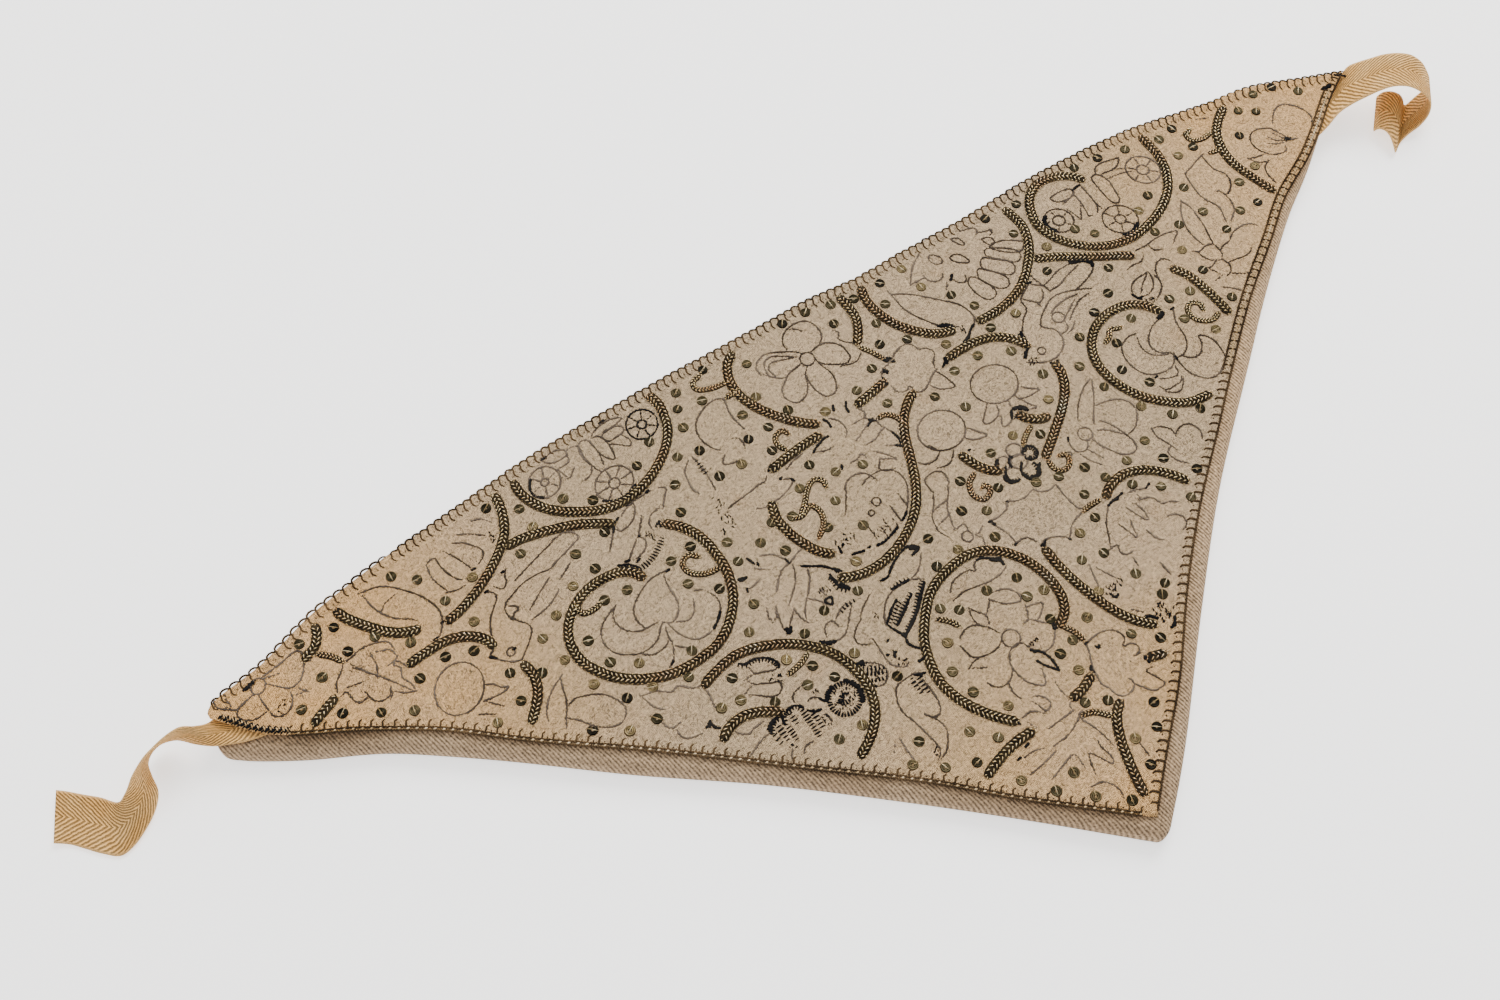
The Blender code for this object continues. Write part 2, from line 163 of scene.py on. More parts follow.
def smooth(rows, steps, closed=False):
    """Return points on a smooth curve through the rows, `steps` to a row.

    It is a centripetal curve, which doesn't bulge where rows are uneven.
    """
    points = [Vector(row) for row in rows]
    count = len(points)
    curve = []
    for span in range(count if closed else count - 1):
        if closed:
            before, start, end, after = (points[(span + k) % count] for k in (-1, 0, 1, 2))
        else:
            start, end = points[span], points[span + 1]
            before = points[span - 1] if span else 2 * start - end
            after = points[span + 2] if span + 2 < count else 2 * end - start
        gaps = (start - before, end - start, after - end)
        first, middle, last = (gap.length ** 0.5 for gap in gaps)
        leave = gaps[0] / first - (end - before) / (first + middle) + gaps[1] / middle
        reach = gaps[1] / middle - (after - start) / (middle + last) + gaps[2] / last
        for step in range(steps):
            t = step / steps
            square, cube = t ** 2, t ** 3
            curve.append(
                start * (2 * cube - 3 * square + 1) + end * (3 * square - 2 * cube)
                + leave * (middle * (cube - 2 * square + t)) + reach * (middle * (cube - square)))
    if not closed:
        curve.append(points[-1])
    return curve


def even(points, step):
    """Return the same line with its points about `step` millimetres apart."""
    lengths = [0.0]
    for first, second in zip(points, points[1:]):
        lengths.append(lengths[-1] + (second - first).length)
    pieces = max(2, round(lengths[-1] / step))
    line = []
    span = 0
    for piece in range(pieces + 1):
        place = lengths[-1] * piece / pieces
        while span < len(points) - 2 and lengths[span + 1] < place:
            span += 1
        share = (place - lengths[span]) / (lengths[span + 1] - lengths[span])
        line.append(points[span].lerp(points[span + 1], share))
    return line


print("Points on a smooth corner:", len(smooth([(0, 0), (5, 5), (10, 0)], 6)))

# %% [markdown]
# Writing shaders and node trees as plain Python
#
# Node trees are easier to read as sums than as links. One small class wraps a
# socket and turns +, - and * into Math nodes, on either side of a number where
# that is used. Every other node comes from one method, which sets the node's
# own settings first and its inputs after.

# %% A socket that can be used in sums


class Socket:
    """An output socket that builds Math nodes when it is used in a sum."""

    def __init__(self, graph, socket):
        self.graph = graph
        self.socket = socket

    def math(self, operation, *values):
        """Return a Math node's result for these values."""
        return self.graph.node("ShaderNodeMath", {"operation": operation}, dict(enumerate(values)))

    def __add__(self, other):
        return self.math("ADD", self, other)

    def __radd__(self, other):
        return self.math("ADD", other, self)

    def __sub__(self, other):
        return self.math("SUBTRACT", self, other)

    def __rsub__(self, other):
        return self.math("SUBTRACT", other, self)

    def __mul__(self, other):
        return self.math("MULTIPLY", self, other)

    def __rmul__(self, other):
        return self.math("MULTIPLY", other, self)


print("A socket can now be added, subtracted and multiplied")

# %% A tree that makes any node


class Graph:
    """A node tree with one method that makes any node."""

    def __init__(self, tree):
        self.tree = tree

    def node(self, kind, settings=None, values=None, output=0):
        """Make a node, set it up, fill its inputs and return one output."""
        made = self.tree.nodes.new(kind)
        for name, setting in (settings or {}).items():
            if name == "stops":
                self.fill_ramp(made.color_ramp, setting)
            else:
                setattr(made, name, setting)
        for name, value in (values or {}).items():
            self.feed(made.inputs[name], value)
        return Socket(self, made.outputs[output])

    def feed(self, target, value):
        """Link a socket to an input, or set the input's own value."""
        if isinstance(value, Socket):
            self.tree.links.new(value.socket, target)
        else:
            target.default_value = value

    def fill_ramp(self, ramp, stops):
        """Give a colour ramp these (position, colour) stops."""
        while len(ramp.elements) < len(stops):
            ramp.elements.new(0.5)
        for element, (position, colour) in zip(ramp.elements, stops):
            element.position = position
            element.color = (*colour, 1.0)

    def noise(self, place, scale, detail=2.0, roughness=0.5):
        """Return a noise value between 0 and 1 at this place."""
        values = {"Vector": place, "Scale": scale, "Detail": detail, "Roughness": roughness}
        return self.node("ShaderNodeTexNoise", None, values, "Fac")

    def blend(self, share, first, second, mode="MIX"):
        """Mix two colours by a share between 0 and 1."""
        settings = {"data_type": "RGBA", "blend_type": mode, "clamp_factor": True}
        return self.node("ShaderNodeMix", settings, {0: share, 6: first, 7: second}, 2)

    def split(self, place):
        """Return the x, y and z of a place."""
        made = self.node("ShaderNodeSeparateXYZ", None, {0: place}).socket.node
        return [Socket(self, output) for output in made.outputs]

    def between(self, value, low, high, out_low=0.0, out_high=1.0):
        """Map a value smoothly from one range to another."""
        values = {"Value": value, 1: low, 2: high, 3: out_low, 4: out_high}
        return self.node("ShaderNodeMapRange", {"interpolation_type": "SMOOTHSTEP"}, values)


def rgb(red, green, blue):
    """Return a colour with full alpha."""
    return (red, green, blue, 1.0)


print("White with full alpha is", rgb(1.0, 1.0, 1.0))

# %% A finish


class Finish(Graph):
    """A material whose Principled shader is fed by a graph."""

    def __init__(self, name, **plain):
        self.material = bpy.data.materials.new(name)
        self.material.use_nodes = True
        super().__init__(self.material.node_tree)
        self.shader = self.tree.nodes["Principled BSDF"]
        for socket, value in plain.items():
            self.shader.inputs[socket.replace("_", " ")].default_value = value

    def set(self, socket, value):
        """Feed one of the shader's sockets."""
        self.feed(self.shader.inputs[socket], value)

    def paint(self, colour, tone):
        """Use a colour, made darker or lighter by a tone round 1."""
        grey = self.node("ShaderNodeCombineColor", None, {0: tone, 1: tone, 2: tone})
        self.set("Base Color", self.blend(1.0, colour, grey, "MULTIPLY"))

    def object_place(self):
        """Return the place in the piece's own coordinates, in metres."""
        return self.node("ShaderNodeTexCoord", None, None, "Object")

    def kept(self, name):
        """Return a number that the mesh keeps at each of its points."""
        return self.node("ShaderNodeAttribute", {"attribute_name": name}, None, "Fac")

    def ramp(self, value, stops):
        """Return the colour of a ramp at a value."""
        return self.node("ShaderNodeValToRGB", {"stops": stops}, {0: value})

    def bump(self, height, distance, strength=1.0):
        """Raise the surface by a height, in millimetres."""
        values = {"Height": height, "Distance": distance * MM, "Strength": strength}
        self.set("Normal", self.node("ShaderNodeBump", None, values))


print("A finish has", sum(not name.startswith("_") for name in vars(Finish)), "methods of its own")

# %% [markdown]
# The linen's finish
#
# Old linen isn't one colour. Its ends are tanner, and its middle is greyer. On
# top of that come thread by thread differences and the weave itself. The
# pattern follows the cloth's own chart, so it reads a UV map that is laid in
# millimetres, and it stays fixed to the threads.

# %% Linen finish


def chart_place(finish):
    """Return the piece's own chart coordinates, in millimetres."""
    return finish.node("ShaderNodeUVMap", {"uv_map": "chart"})


def wave(distance, spacing):
    """Return a sine that repeats at this spacing."""
    return distance.math("SINE", distance * (2 * math.pi / spacing))


def make_linen_finish():
    """Return the finish of the old, handled linen."""
    finish = Finish("old_linen", Roughness=0.95, Specular_IOR_Level=0.15)
    place = chart_place(finish)
    u, v, _ = finish.split(place)
    away = u.math("MAXIMUM", u.math("ABSOLUTE", u), v * -0.95 - 10.0)
    ends = finish.between(away + 18 * finish.noise(place, 0.03), 95.0, 205.0)
    colour = finish.blend(ends, rgb(0.352, 0.259, 0.156), rgb(0.525, 0.295, 0.108))
    cloud = finish.between(finish.noise(place, 0.02, 3.0), 0.36, 0.66)
    colour = finish.blend(cloud * 0.45, colour, rgb(0.398, 0.291, 0.184))
    stain = finish.between(finish.noise(place, 0.055, 4.0, 0.6), 0.58, 0.76)
    colour = finish.blend(stain * 0.40, colour, rgb(0.300, 0.185, 0.095))
    wander = finish.noise(place, 0.25) * 1.6
    warp = wave(u + wander, 0.46)
    weft = wave(v + wander, 0.50)
    fleck = finish.noise(place, 1.15, 2.0, 0.7)
    grain = finish.noise(place, 3.2, 2.0, 0.6)
    slub = finish.noise(place, 0.5, 3.0, 0.6)
    mottle = grain * 0.58 + fleck * 0.28 + slub * 0.14 + warp * 0.035 + weft * 0.02
    finish.paint(colour, finish.between(mottle, 0.38, 0.62, 0.18, 1.98))
    finish.bump(warp * 0.22 + weft * 0.22 + fleck * 0.9, 0.20, 0.9)
    return finish.material


LINEN_FINISH = make_linen_finish()
print("Nodes of the linen's finish:", len(LINEN_FINISH.node_tree.nodes))

# %% [markdown]
# Metal, silk, twill and tape
#
# The metal threads are gilt silver that has tarnished to bronze, with reddish
# and olive patches; a highlight is painted on top of each thread and shade
# below it. The silk is a dark brown that has gone grey in places. The twill of
# the board has a fine diagonal rib. Painted light makes it paler towards the
# right, and painted shade darkens its foot. The tape is woven in long chevrons,
# whose rib turns back along the middle. Each rib is a sine of a distance across
# it.

# %% Metal finishes


def make_braid_finish():
    """Return the finish of tarnished gilt thread: dark, with a painted highlight on its crests and painted
    shade below them.
    """
    finish = Finish("tarnished_gilt", Metallic=1.0, Roughness=0.42)
    place = finish.object_place()
    patch = finish.noise(place, 60.0, 3.0)
    dark = finish.ramp(patch, [
        (0.34, (0.060, 0.044, 0.021)), (0.50, (0.120, 0.084, 0.037)), (0.60, (0.125, 0.072, 0.032)),
    ])
    bright = finish.ramp(patch, [
        (0.32, (0.640, 0.480, 0.240)), (0.44, (1.000, 0.800, 0.460)), (0.54, (0.860, 0.620, 0.330)),
        (0.62, (0.800, 0.520, 0.280)), (0.72, (1.000, 0.900, 0.640)),
    ])
    strand = finish.noise(place, 800.0, 2.0)
    # Painted highlight and shade: the thread is painted bright where it stands high and dark lower down, by
    # the height its model keeps.
    crest = finish.between(finish.kept("crest") + strand * 1.5, 1.08, 1.52)
    finish.set("Base Color", finish.blend(crest, dark, bright))
    finish.set("Roughness", finish.between(strand, 0.3, 0.7, 0.36, 0.16))
    return finish.material


def make_shadow_finish():
    """Return the finish of a near-black strip: painted shade for the pits between the plaits."""
    finish = Finish("braid_core", Metallic=0.0, Roughness=0.95, Specular_IOR_Level=0.1)
    share = finish.between(finish.noise(finish.object_place(), 500.0), 0.35, 0.65)
    finish.set("Base Color", finish.blend(share, rgb(0.014, 0.010, 0.006), rgb(0.044, 0.031, 0.016)))
    return finish.material


def make_spangle_finish():
    """Return the finish of the spangles: each has a tone of its own."""
    finish = Finish("tarnished_spangle", Metallic=1.0, Roughness=0.40)
    colour = finish.ramp(finish.kept("tone"), [
        (0.00, (0.008, 0.007, 0.005)), (0.25, (0.018, 0.015, 0.008)), (0.50, (0.042, 0.034, 0.018)),
        (0.70, (0.110, 0.080, 0.038)), (0.84, (0.420, 0.270, 0.110)), (1.00, (0.720, 0.500, 0.240)),
    ])
    fleck = finish.noise(finish.object_place(), 1400.0, 2.0)
    # Painted shade and highlight: the grooves and foot are painted dark and the raised rings bright, by
    # height.
    crest = finish.between(finish.kept("crest") + fleck * 0.9, 0.70, 1.50, 0.08, 2.0)
    finish.paint(colour, crest)
    finish.set("Roughness", finish.between(fleck, 0.3, 0.7, 0.30, 0.48))
    return finish.material


def make_wire_finish():
    """Return the finish of the brighter wire across each spangle."""
    finish = Finish("bright_wire", Metallic=1.0, Roughness=0.34)
    share = finish.between(finish.noise(finish.object_place(), 90.0), 0.4, 0.6)
    colour = finish.blend(share, rgb(0.66, 0.54, 0.33), rgb(0.34, 0.24, 0.11))
    # Painted shade at the wire's foot and a painted highlight on its top, by height.
    finish.paint(colour, finish.between(finish.kept("crest"), 0.30, 0.85, 0.20, 1.0))
    return finish.material


BRAID_FINISH = make_braid_finish()
SHADE_STRIP_FINISH = make_shadow_finish()
SPANGLE_FINISH = make_spangle_finish()
WIRE_FINISH = make_wire_finish()
print("Nodes of the braid's finish:", len(BRAID_FINISH.node_tree.nodes))

# %% Silk finishes


def make_silk_finish(name, brown, worn):
    """Return the finish of a fine silk thread, from brown to worn grey."""
    finish = Finish(name, Roughness=0.85, Specular_IOR_Level=0.12)
    place = finish.object_place()
    share = finish.between(finish.noise(place, 45.0, 3.0), 0.38, 0.64)
    # Fibre grain, and a painted sheen on the top of each stitch, by height.
    fibre_and_sheen = finish.noise(place, 1100.0) * 0.8 + finish.kept("crest") * 0.3
    finish.paint(finish.blend(share, brown, worn), finish.between(fibre_and_sheen, 0.3, 0.9, 0.55, 1.5))
    return finish.material


BROWN_SILK = make_silk_finish("brown_silk", rgb(0.050, 0.037, 0.027), rgb(0.150, 0.116, 0.088))
BLACK_SILK = make_silk_finish("black_silk", rgb(0.004, 0.004, 0.005), rgb(0.018, 0.016, 0.014))
print("Nodes of a silk finish:", len(BROWN_SILK.node_tree.nodes))

# %% Twill and tape finishes
TAPE_WIDTH = 16.0


def make_twill_finish():
    """Return the finish of the board's cover, with its fine rib."""
    finish = Finish("board_twill", Roughness=0.95, Specular_IOR_Level=0.15)
    place = finish.object_place()
    x, y, z = finish.split(place)
    wander = finish.noise(place, 120.0, 2.0) * (0.5 * MM)
    across = x * 0.97 + y * 0.22 + z * 0.10 + wander
    rib = wave(across, 1.00 * MM)
    fleck = finish.noise(place, 1300.0, 2.0, 0.7)
    cloud = finish.between(finish.noise(place, 22.0, 3.0), 0.35, 0.65)
    colour = finish.blend(cloud, rgb(0.282, 0.190, 0.112), rgb(0.345, 0.242, 0.148))
    # Painted light: the cover is painted paler towards the right, where more light falls on it.
    painted_light_right = finish.between(x, -0.02, 0.12)
    colour = finish.blend(painted_light_right * 0.6, colour, rgb(0.420, 0.280, 0.160))
    weave = finish.between(rib * 0.21 + fleck * 1.4, 0.20, 1.20, 0.26, 1.86)
    # Painted shade: the cover is painted darker towards its foot, where little light reaches.
    finish.paint(colour, weave * finish.between(z, 0.3 * MM, 3.0 * MM, 0.58, 1.0))
    finish.bump(rib * 0.5 + fleck * 0.6, 0.25, 0.9)
    return finish.material


def make_tape_finish():
    """Return the finish of the chevron tape, laid out along and across it."""
    finish = Finish("chevron_tape", Roughness=0.80, Specular_IOR_Level=0.20)
    place = chart_place(finish)
    across, along, _ = finish.split(place)
    wander = finish.noise(place, 0.5, 3.0) * 1.2
    fold = across.math("ABSOLUTE", across - TAPE_WIDTH / 2)
    rib = wave(along - fold * 1.3 + wander, 1.7)
    fleck = finish.noise(place, 1.9, 3.0, 0.7)
    selvage = finish.between(fold, 7.0, 7.8)
    patch = finish.between(finish.noise(place, 0.09), 0.35, 0.65)
    colour = finish.blend(patch, rgb(0.600, 0.318, 0.092), rgb(0.705, 0.412, 0.146))
    colour = finish.blend(selvage * 0.45, colour, rgb(0.700, 0.450, 0.200))
    tone = rib * (1.0 - selvage) * 0.42 + fleck * 1.1
    finish.paint(colour, finish.between(tone, 0.0, 1.10, 0.34, 1.60))
    finish.bump(rib * (1.0 - selvage) * 0.6 + fleck * 0.5, 0.45, 0.9)
    return finish.material


TWILL_FINISH = make_twill_finish()
TAPE_FINISH = make_tape_finish()
print("Finishes:", len(bpy.data.materials))

# %% [markdown]
# Building plain meshes
#
# Most pieces are lofts: a row of rings that are joined with faces. A helper
# turns rings into a closed mesh and sends its faces outwards. It also lays a
# chart UV on the mesh where a woven pattern needs one.

# %% Mesh helpers
import bmesh


def outward_mesh(name, verts, faces):
    """Return a mesh of closed forms whose faces all look outwards."""
    mesh = bpy.data.meshes.new(name)
    mesh.from_pydata(verts, [], faces)
    bm = bmesh.new()
    bm.from_mesh(mesh)
    bmesh.ops.recalc_face_normals(bm, faces=bm.faces)
    bm.to_mesh(mesh)
    bm.free()
    return mesh


def make_piece(name, verts, faces, finish, charts=None):
    """Return an object from points and faces, with an optional chart UV."""
    mesh = outward_mesh(name, verts, faces)
    if charts:
        layer = mesh.uv_layers.new(name="chart")
        for loop in mesh.loops:
            layer.data[loop.index].uv = charts[loop.vertex_index]
    mesh.shade_smooth()
    mesh.materials.append(finish)
    return show(name, mesh)


def loft_faces(rings, size, base=0):
    """Return the faces that join `rings` closed rings of `size` points."""
    faces = []
    for start in range(base, base + (rings - 1) * size, size):
        for k in range(size):
            after = (k + 1) % size
            faces.append((start + k, start + after, start + size + after, start + size + k))
    faces.append(tuple(range(base + size - 1, base - 1, -1)))
    faces.append(tuple(range(base + (rings - 1) * size, base + rings * size)))
    return faces


def leftwards(ahead):
    """Return the direction, one long, that points left of a way ahead."""
    return Vector((-ahead.y, ahead.x)).normalized()


def ahead_at(line, k):
    """Return the way ahead at a point of an open line."""
    return line[min(k + 1, len(line) - 1)] - line[max(k - 1, 0)]


print("A loft of 2 rings of 4 points is a box with", len(loft_faces(2, 4)), "faces")

# %% [markdown]
# The board
#
# The board is a thin slab with padding, wrapped in twill. Its cover rounds
# softly over the upper rim and turns under at the foot. The outline is drawn
# once, and each ring of the loft is that outline, drawn in a little and set at
# its own height.

# %% Board
# Columns: u, v, from the left tip round the front corner and back.
BOARD_OUTLINE = [
    (-213.5, -0.8), (-216.8, -4.5), (-217.0, -9.5), (-213.3, -14.0), (-198.4, -26.3), (-177.8, -40.8),
    (-163.3, -53.3), (-149.2, -66.1), (-119.3, -94.2), (-88.8, -120.2), (-58.9, -147.4), (-29.1, -174.9),
    (-12.0, -191.0), (-5.7, -196.9), (-3.4, -198.6), (-0.6, -198.2), (4.2, -194.4), (19.6, -180.4),
    (50, -149.0), (79.7, -118.9), (110.4, -90.9), (120.5, -81.6), (130.8, -71.9), (150, -54.5),
    (165, -41.5), (180, -29.8), (195, -16.5), (205, -7.0), (206.5, -3.5), (203, -0.5), (190, 2.5),
    (175, 4.3), (150, 5.4), (120, 5.2), (90, 3.0), (60, 0.0), (25, -1.3), (-10, 0.4), (-50, 2.0),
    (-100, 3.7), (-155, 4.3), (-185, 3.0), (-205, 0.6),
]

# Columns: drawn in, height. The cover's section, from the foot to the top.
COVER_SECTION = [
    (1.4, 0.0), (0.7, 0.25), (0.25, 0.8), (0.05, 1.8), (0.0, 3.2), (0.05, 4.6), (0.3, 5.8), (0.8, 6.8),
    (1.5, 7.5), (2.3, 7.9), (3.0, 8.0),
]
COVER_SLACK = 0.12  # how far the cover's line wanders above the foot
SLACK_TURN = 0.37  # radians from one point of the outline to the next


def make_board():
    """The padded board: the outline, lofted up its soft rim."""
    line = smooth(BOARD_OUTLINE, steps=7, closed=True)
    count = len(line)
    verts = []
    for inset, height in COVER_SECTION:
        for k, point in enumerate(line):
            ahead = line[(k + 1) % count] - line[k - 1]
            inward = leftwards(ahead)
            slack = COVER_SLACK * math.sin(k * SLACK_TURN) * min(inset, 1.0)
            place = point + inward * (inset + slack)
            x, y = bowed(place.x, place.y)
            verts.append(Vector((x, y, height)) * MM)
    board = make_piece("board_cover", verts, loft_faces(len(COVER_SECTION), count), TWILL_FINISH)
    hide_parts("support_board")
    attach(board, "root")
    return board


board = make_board()
print("Board:", len(board.data.polygons), "faces")

# %% [markdown]
# The linen
#
# The cloth is cut along three edge lines. Columns run from a short edge up to
# the long edge, and each column is divided evenly, so the mesh follows the cut
# without a ragged border. Its thickness is closed all round.

# %% Linen
# Columns: u, v. The linen's long edge, left to right.
LONG_EDGE = [
    (-215, 1.0), (-213.4, 2.5), (-209, 2.9), (-203, 2.6), (-196, 2.4), (-190, 3.1), (-184, 4.1),
    (-175, 5.8), (-155, 6.5), (-120, 6.1), (-95, 6.2), (-70, 5.2), (-45, 4.2), (-20, 3.0), (10, 2.5),
    (25, 1.2), (45, 2.0), (70, 3.1), (90, 5.5), (110, 7.3), (135, 8.4), (165, 6.8), (178, 6.8),
    (190, 4.7), (202, 1.9), (213, 0.0),
]

# Columns: u, v. The left short edge, from the left tip to the front corner.
LEFT_EDGE = [
    (-215, -0.6), (-211, -6.0), (-206, -12.8), (-201, -18.0), (-194, -23.6), (-178, -34.8), (-160, -49.0),
    (-140, -68.5), (-110, -95.0), (-80, -122.5), (-50, -149.0), (-30, -168.7), (-2.0, -193.2),
]

# Columns: u, v. The right short edge, from the front corner to the right tip.
RIGHT_EDGE = [
    (-2.0, -193.2), (10, -181.8), (30, -163.2), (50, -141.0), (70, -121.0), (90, -103.0), (110, -84.5),
    (130, -66.4), (150, -50.2), (165, -37.4), (180, -27.8), (190, -20.0), (202, -9.4), (213, -0.8),
]
CLOTH_THICKNESS = 0.6
COLUMN_STEP = 2.2
STRIPS = 72
TIP_COLUMN = 0.8
long_line, left_line, right_line = (
    smooth(edge, steps=8) for edge in (LONG_EDGE, LEFT_EDGE, RIGHT_EDGE))


def v_on(line, u):
    """Return v at this u on an edge line."""
    for first, second in zip(line, line[1:]):
        if first.x <= u <= second.x:
            return first.y + (second.y - first.y) * (u - first.x) / (second.x - first.x)
    return line[0].y if u < line[0].x else line[-1].y


def make_linen():
    """The linen: columns of closed rings from a short edge to the long one."""
    corner = LEFT_EDGE[-1][0]
    tips = (LONG_EDGE[0][0], LONG_EDGE[-1][0])
    columns = {*tips, corner, tips[0] + TIP_COLUMN, tips[1] - TIP_COLUMN}
    columns |= {tips[0] + COLUMN_STEP * k for k in range(1, int((tips[1] - tips[0]) / COLUMN_STEP))}
    verts = []
    charts = []
    for u in sorted(columns):
        low = v_on(left_line if u < corner else right_line, u)
        high = v_on(long_line, u)
        rows = [low + (high - low) * (k / STRIPS) for k in range(STRIPS + 1)]
        under = [(v, -CLOTH_THICKNESS) for v in reversed(rows)]
        for v, depth in [(v, 0.0) for v in rows] + under:
            verts.append(on_linen(u, v, depth))
            charts.append((u, v))
    size = 2 * (STRIPS + 1)
    faces = loft_faces(len(verts) // size, size)
    return make_piece("linen_cloth", verts, faces, LINEN_FINISH, charts)


linen = make_linen()
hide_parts("linen")
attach(linen, "root")
print("Linen:", len(linen.data.polygons), "faces")

# %% [markdown]
# One tree for everything that is stitched
#
# Braid, chain, outline stitches and edging all do one thing: they repeat a
# small link along a line. So one Geometry Nodes tree serves them all. It turns
# the lines into curves, sets a link every so many millimetres, turns each link
# along the line, and jitters it by a fixed seed. Links grow smaller towards
# the ends of a line that asks for a taper. The links are made real at the end,
# and the result is kept as a plain mesh.

# %% Start and end a tree


def new_tree(name, inputs):
    """Return the graph of a new node tree, and its inputs by name."""
    tree = bpy.data.node_groups.new(name, "GeometryNodeTree")
    for label, kind in inputs.items():
        tree.interface.new_socket(label, in_out="INPUT", socket_type="NodeSocket" + kind)
    tree.interface.new_socket("Made", in_out="OUTPUT", socket_type="NodeSocketGeometry")
    graph = Graph(tree)
    asked = tree.nodes.new("NodeGroupInput")
    return graph, {socket.name: Socket(graph, socket) for socket in asked.outputs if socket.name}


def end_tree(graph, given, points, rotation, scale):
    """Set the model on points, make the copies real and give them the finish."""
    model = graph.node("GeometryNodeObjectInfo", None, {"Object": given["Model"]}, "Geometry")
    copies = graph.node(
        "GeometryNodeInstanceOnPoints", None,
        {"Points": points, "Instance": model, "Rotation": rotation, "Scale": scale})
    real = graph.node("GeometryNodeRealizeInstances", None, {0: copies})
    dyed = graph.node("GeometryNodeSetMaterial", None, {"Geometry": real, "Material": given["Finish"]})
    graph.feed(graph.tree.nodes.new("NodeGroupOutput").inputs[0], dyed)
    return graph.tree


print("Each tree starts with new_tree() and ends with end_tree()")

# %% The stitching tree
END_SIZE = 0.62
HAIR = 0.0001  # keeps a taper's range open where the taper is 0


def chance(graph, low, high, seed):
    """Return a random number for each point, always from the same seed."""
    return graph.node("FunctionNodeRandomValue", {"data_type": "FLOAT"}, {2: low, 3: high, "Seed": seed}, 1)


def make_stitching_tree():
    """Build the tree that repeats a link along every line of a mesh."""
    graph, given = new_tree("stitching", {
        "Lines": "Geometry", "Model": "Object", "Pitch": "Float", "Turn jitter": "Float",
        "Size jitter": "Float", "Taper": "Float", "Seed": "Int", "Finish": "Material",
    })
    curves = graph.node("GeometryNodeMeshToCurve", None, {"Mesh": given["Lines"]})
    spaced = graph.node(
        "GeometryNodeResampleCurve", {"mode": "LENGTH"}, {"Curve": curves, "Length": given["Pitch"]})
    tangent = graph.node("GeometryNodeInputTangent")
    along = graph.node(
        "FunctionNodeAlignRotationToVector", {"axis": "X", "pivot_axis": "Z"}, {"Vector": tangent})
    swing = chance(graph, given["Turn jitter"] * -1.0, given["Turn jitter"], given["Seed"])
    extra = graph.node("ShaderNodeCombineXYZ", None, {2: swing})
    turned = graph.node(
        "FunctionNodeRotateRotation", {"rotation_space": "LOCAL"},
        {0: along, 1: graph.node("FunctionNodeEulerToRotation", None, {0: extra})})
    size = chance(graph, 1.0 - given["Size jitter"], 1.0 + given["Size jitter"], given["Seed"] + 7)
    travelled = graph.node("GeometryNodeSplineParameter", None, None, "Length")
    whole = graph.node("GeometryNodeSplineLength", None, None, "Length")
    to_end = travelled.math("MINIMUM", travelled, whole - travelled)
    narrow = graph.between(to_end, -HAIR, given["Taper"] + HAIR, END_SIZE, 1.0)
    return end_tree(graph, given, spaced, turned, size * narrow)


STITCHING = make_stitching_tree()
print("The stitching tree has", len(STITCHING.nodes), "nodes")

# %% Run a tree


def work(tree, name, mesh, finish, settings):
    """Run a tree over a mesh, and keep what it makes as one plain mesh."""
    host = show(name + "_host", mesh)
    modifier = host.modifiers.new(tree.name, "NODES")
    modifier.node_group = tree
    settings = {"Finish": finish, **settings}
    for item in tree.interface.items_tree:
        if item.name in settings:
            modifier[item.identifier] = settings[item.name]
    graph = bpy.context.evaluated_depsgraph_get()
    made = bpy.data.meshes.new_from_object(
        host.evaluated_get(graph), preserve_all_data_layers=True, depsgraph=graph)
    made.name = name
    made.materials.clear()
    made.materials.append(finish)
    made.shade_smooth()
    bpy.data.objects.remove(host, do_unlink=True)
    piece = show(name, made)
    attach(piece, "root")
    return piece


def stitch(name, lines, link, pitch, finish, turn, size, seed, taper=0.0):
    """Repeat a link along lines of points, and return one plain mesh.

    The pitch and the taper are in millimetres. Turn and size are the most that
    chance adds to a link's turn, in radians, and to its size.
    """
    verts = []
    edges = []
    for line, closed in lines:
        start = len(verts)
        verts += line
        edges += [(k, k + 1) for k in range(start, len(verts) - 1)]
        if closed:
            edges.append((len(verts) - 1, start))
    mesh = bpy.data.meshes.new(name)
    mesh.from_pydata(verts, edges, [])
    return work(STITCHING, name, mesh, finish, {
        "Model": link, "Pitch": pitch * MM, "Turn jitter": turn, "Size jitter": size,
        "Taper": taper * MM, "Seed": seed,
    })


print("Inputs of the stitching tree:", len(STITCHING.interface.items_tree) - 1)

# %% Models of links


def make_model(name, verts, faces):
    """Return a hidden model that keeps at each point how high it stands, from 0 to 1, from which highlight
    and shade are painted.
    """
    mesh = outward_mesh(name, verts, faces)
    top = max(point.co.z for point in mesh.vertices)
    layer = mesh.attributes.new("crest", "FLOAT", "POINT")
    for point in mesh.vertices:
        layer.data[point.index].value = max(point.co.z, 0.0) / top
    return bpy.data.objects.new(name, mesh)


def make_link(name, *bars):
    """Make a model link from lofted bars that run along x or y.

    Each bar is a list of rows, one for each of its sections, in millimetres.
    The columns are x, y, z, half width and half height.
    """
    verts = []
    faces = []
    for rows in bars:
        faces += loft_faces(len(rows), 4, len(verts))
        for place, (x, y, z, wide, high) in enumerate(rows):
            before = rows[max(place - 1, 0)]
            after = rows[min(place + 1, len(rows) - 1)]
            side = leftwards(Vector((after[0] - before[0], after[1] - before[1])))
            for across, up in ((1, 0), (0, 1), (-1, 0), (0, -1)):
                verts.append(Vector((
                    x + side.x * across * wide, y + side.y * across * wide, z + up * high)) * MM)
    return make_model(name, verts, faces)


print("A link's bar has 4 sides, so 3 sections make", len(loft_faces(3, 4)), "faces")
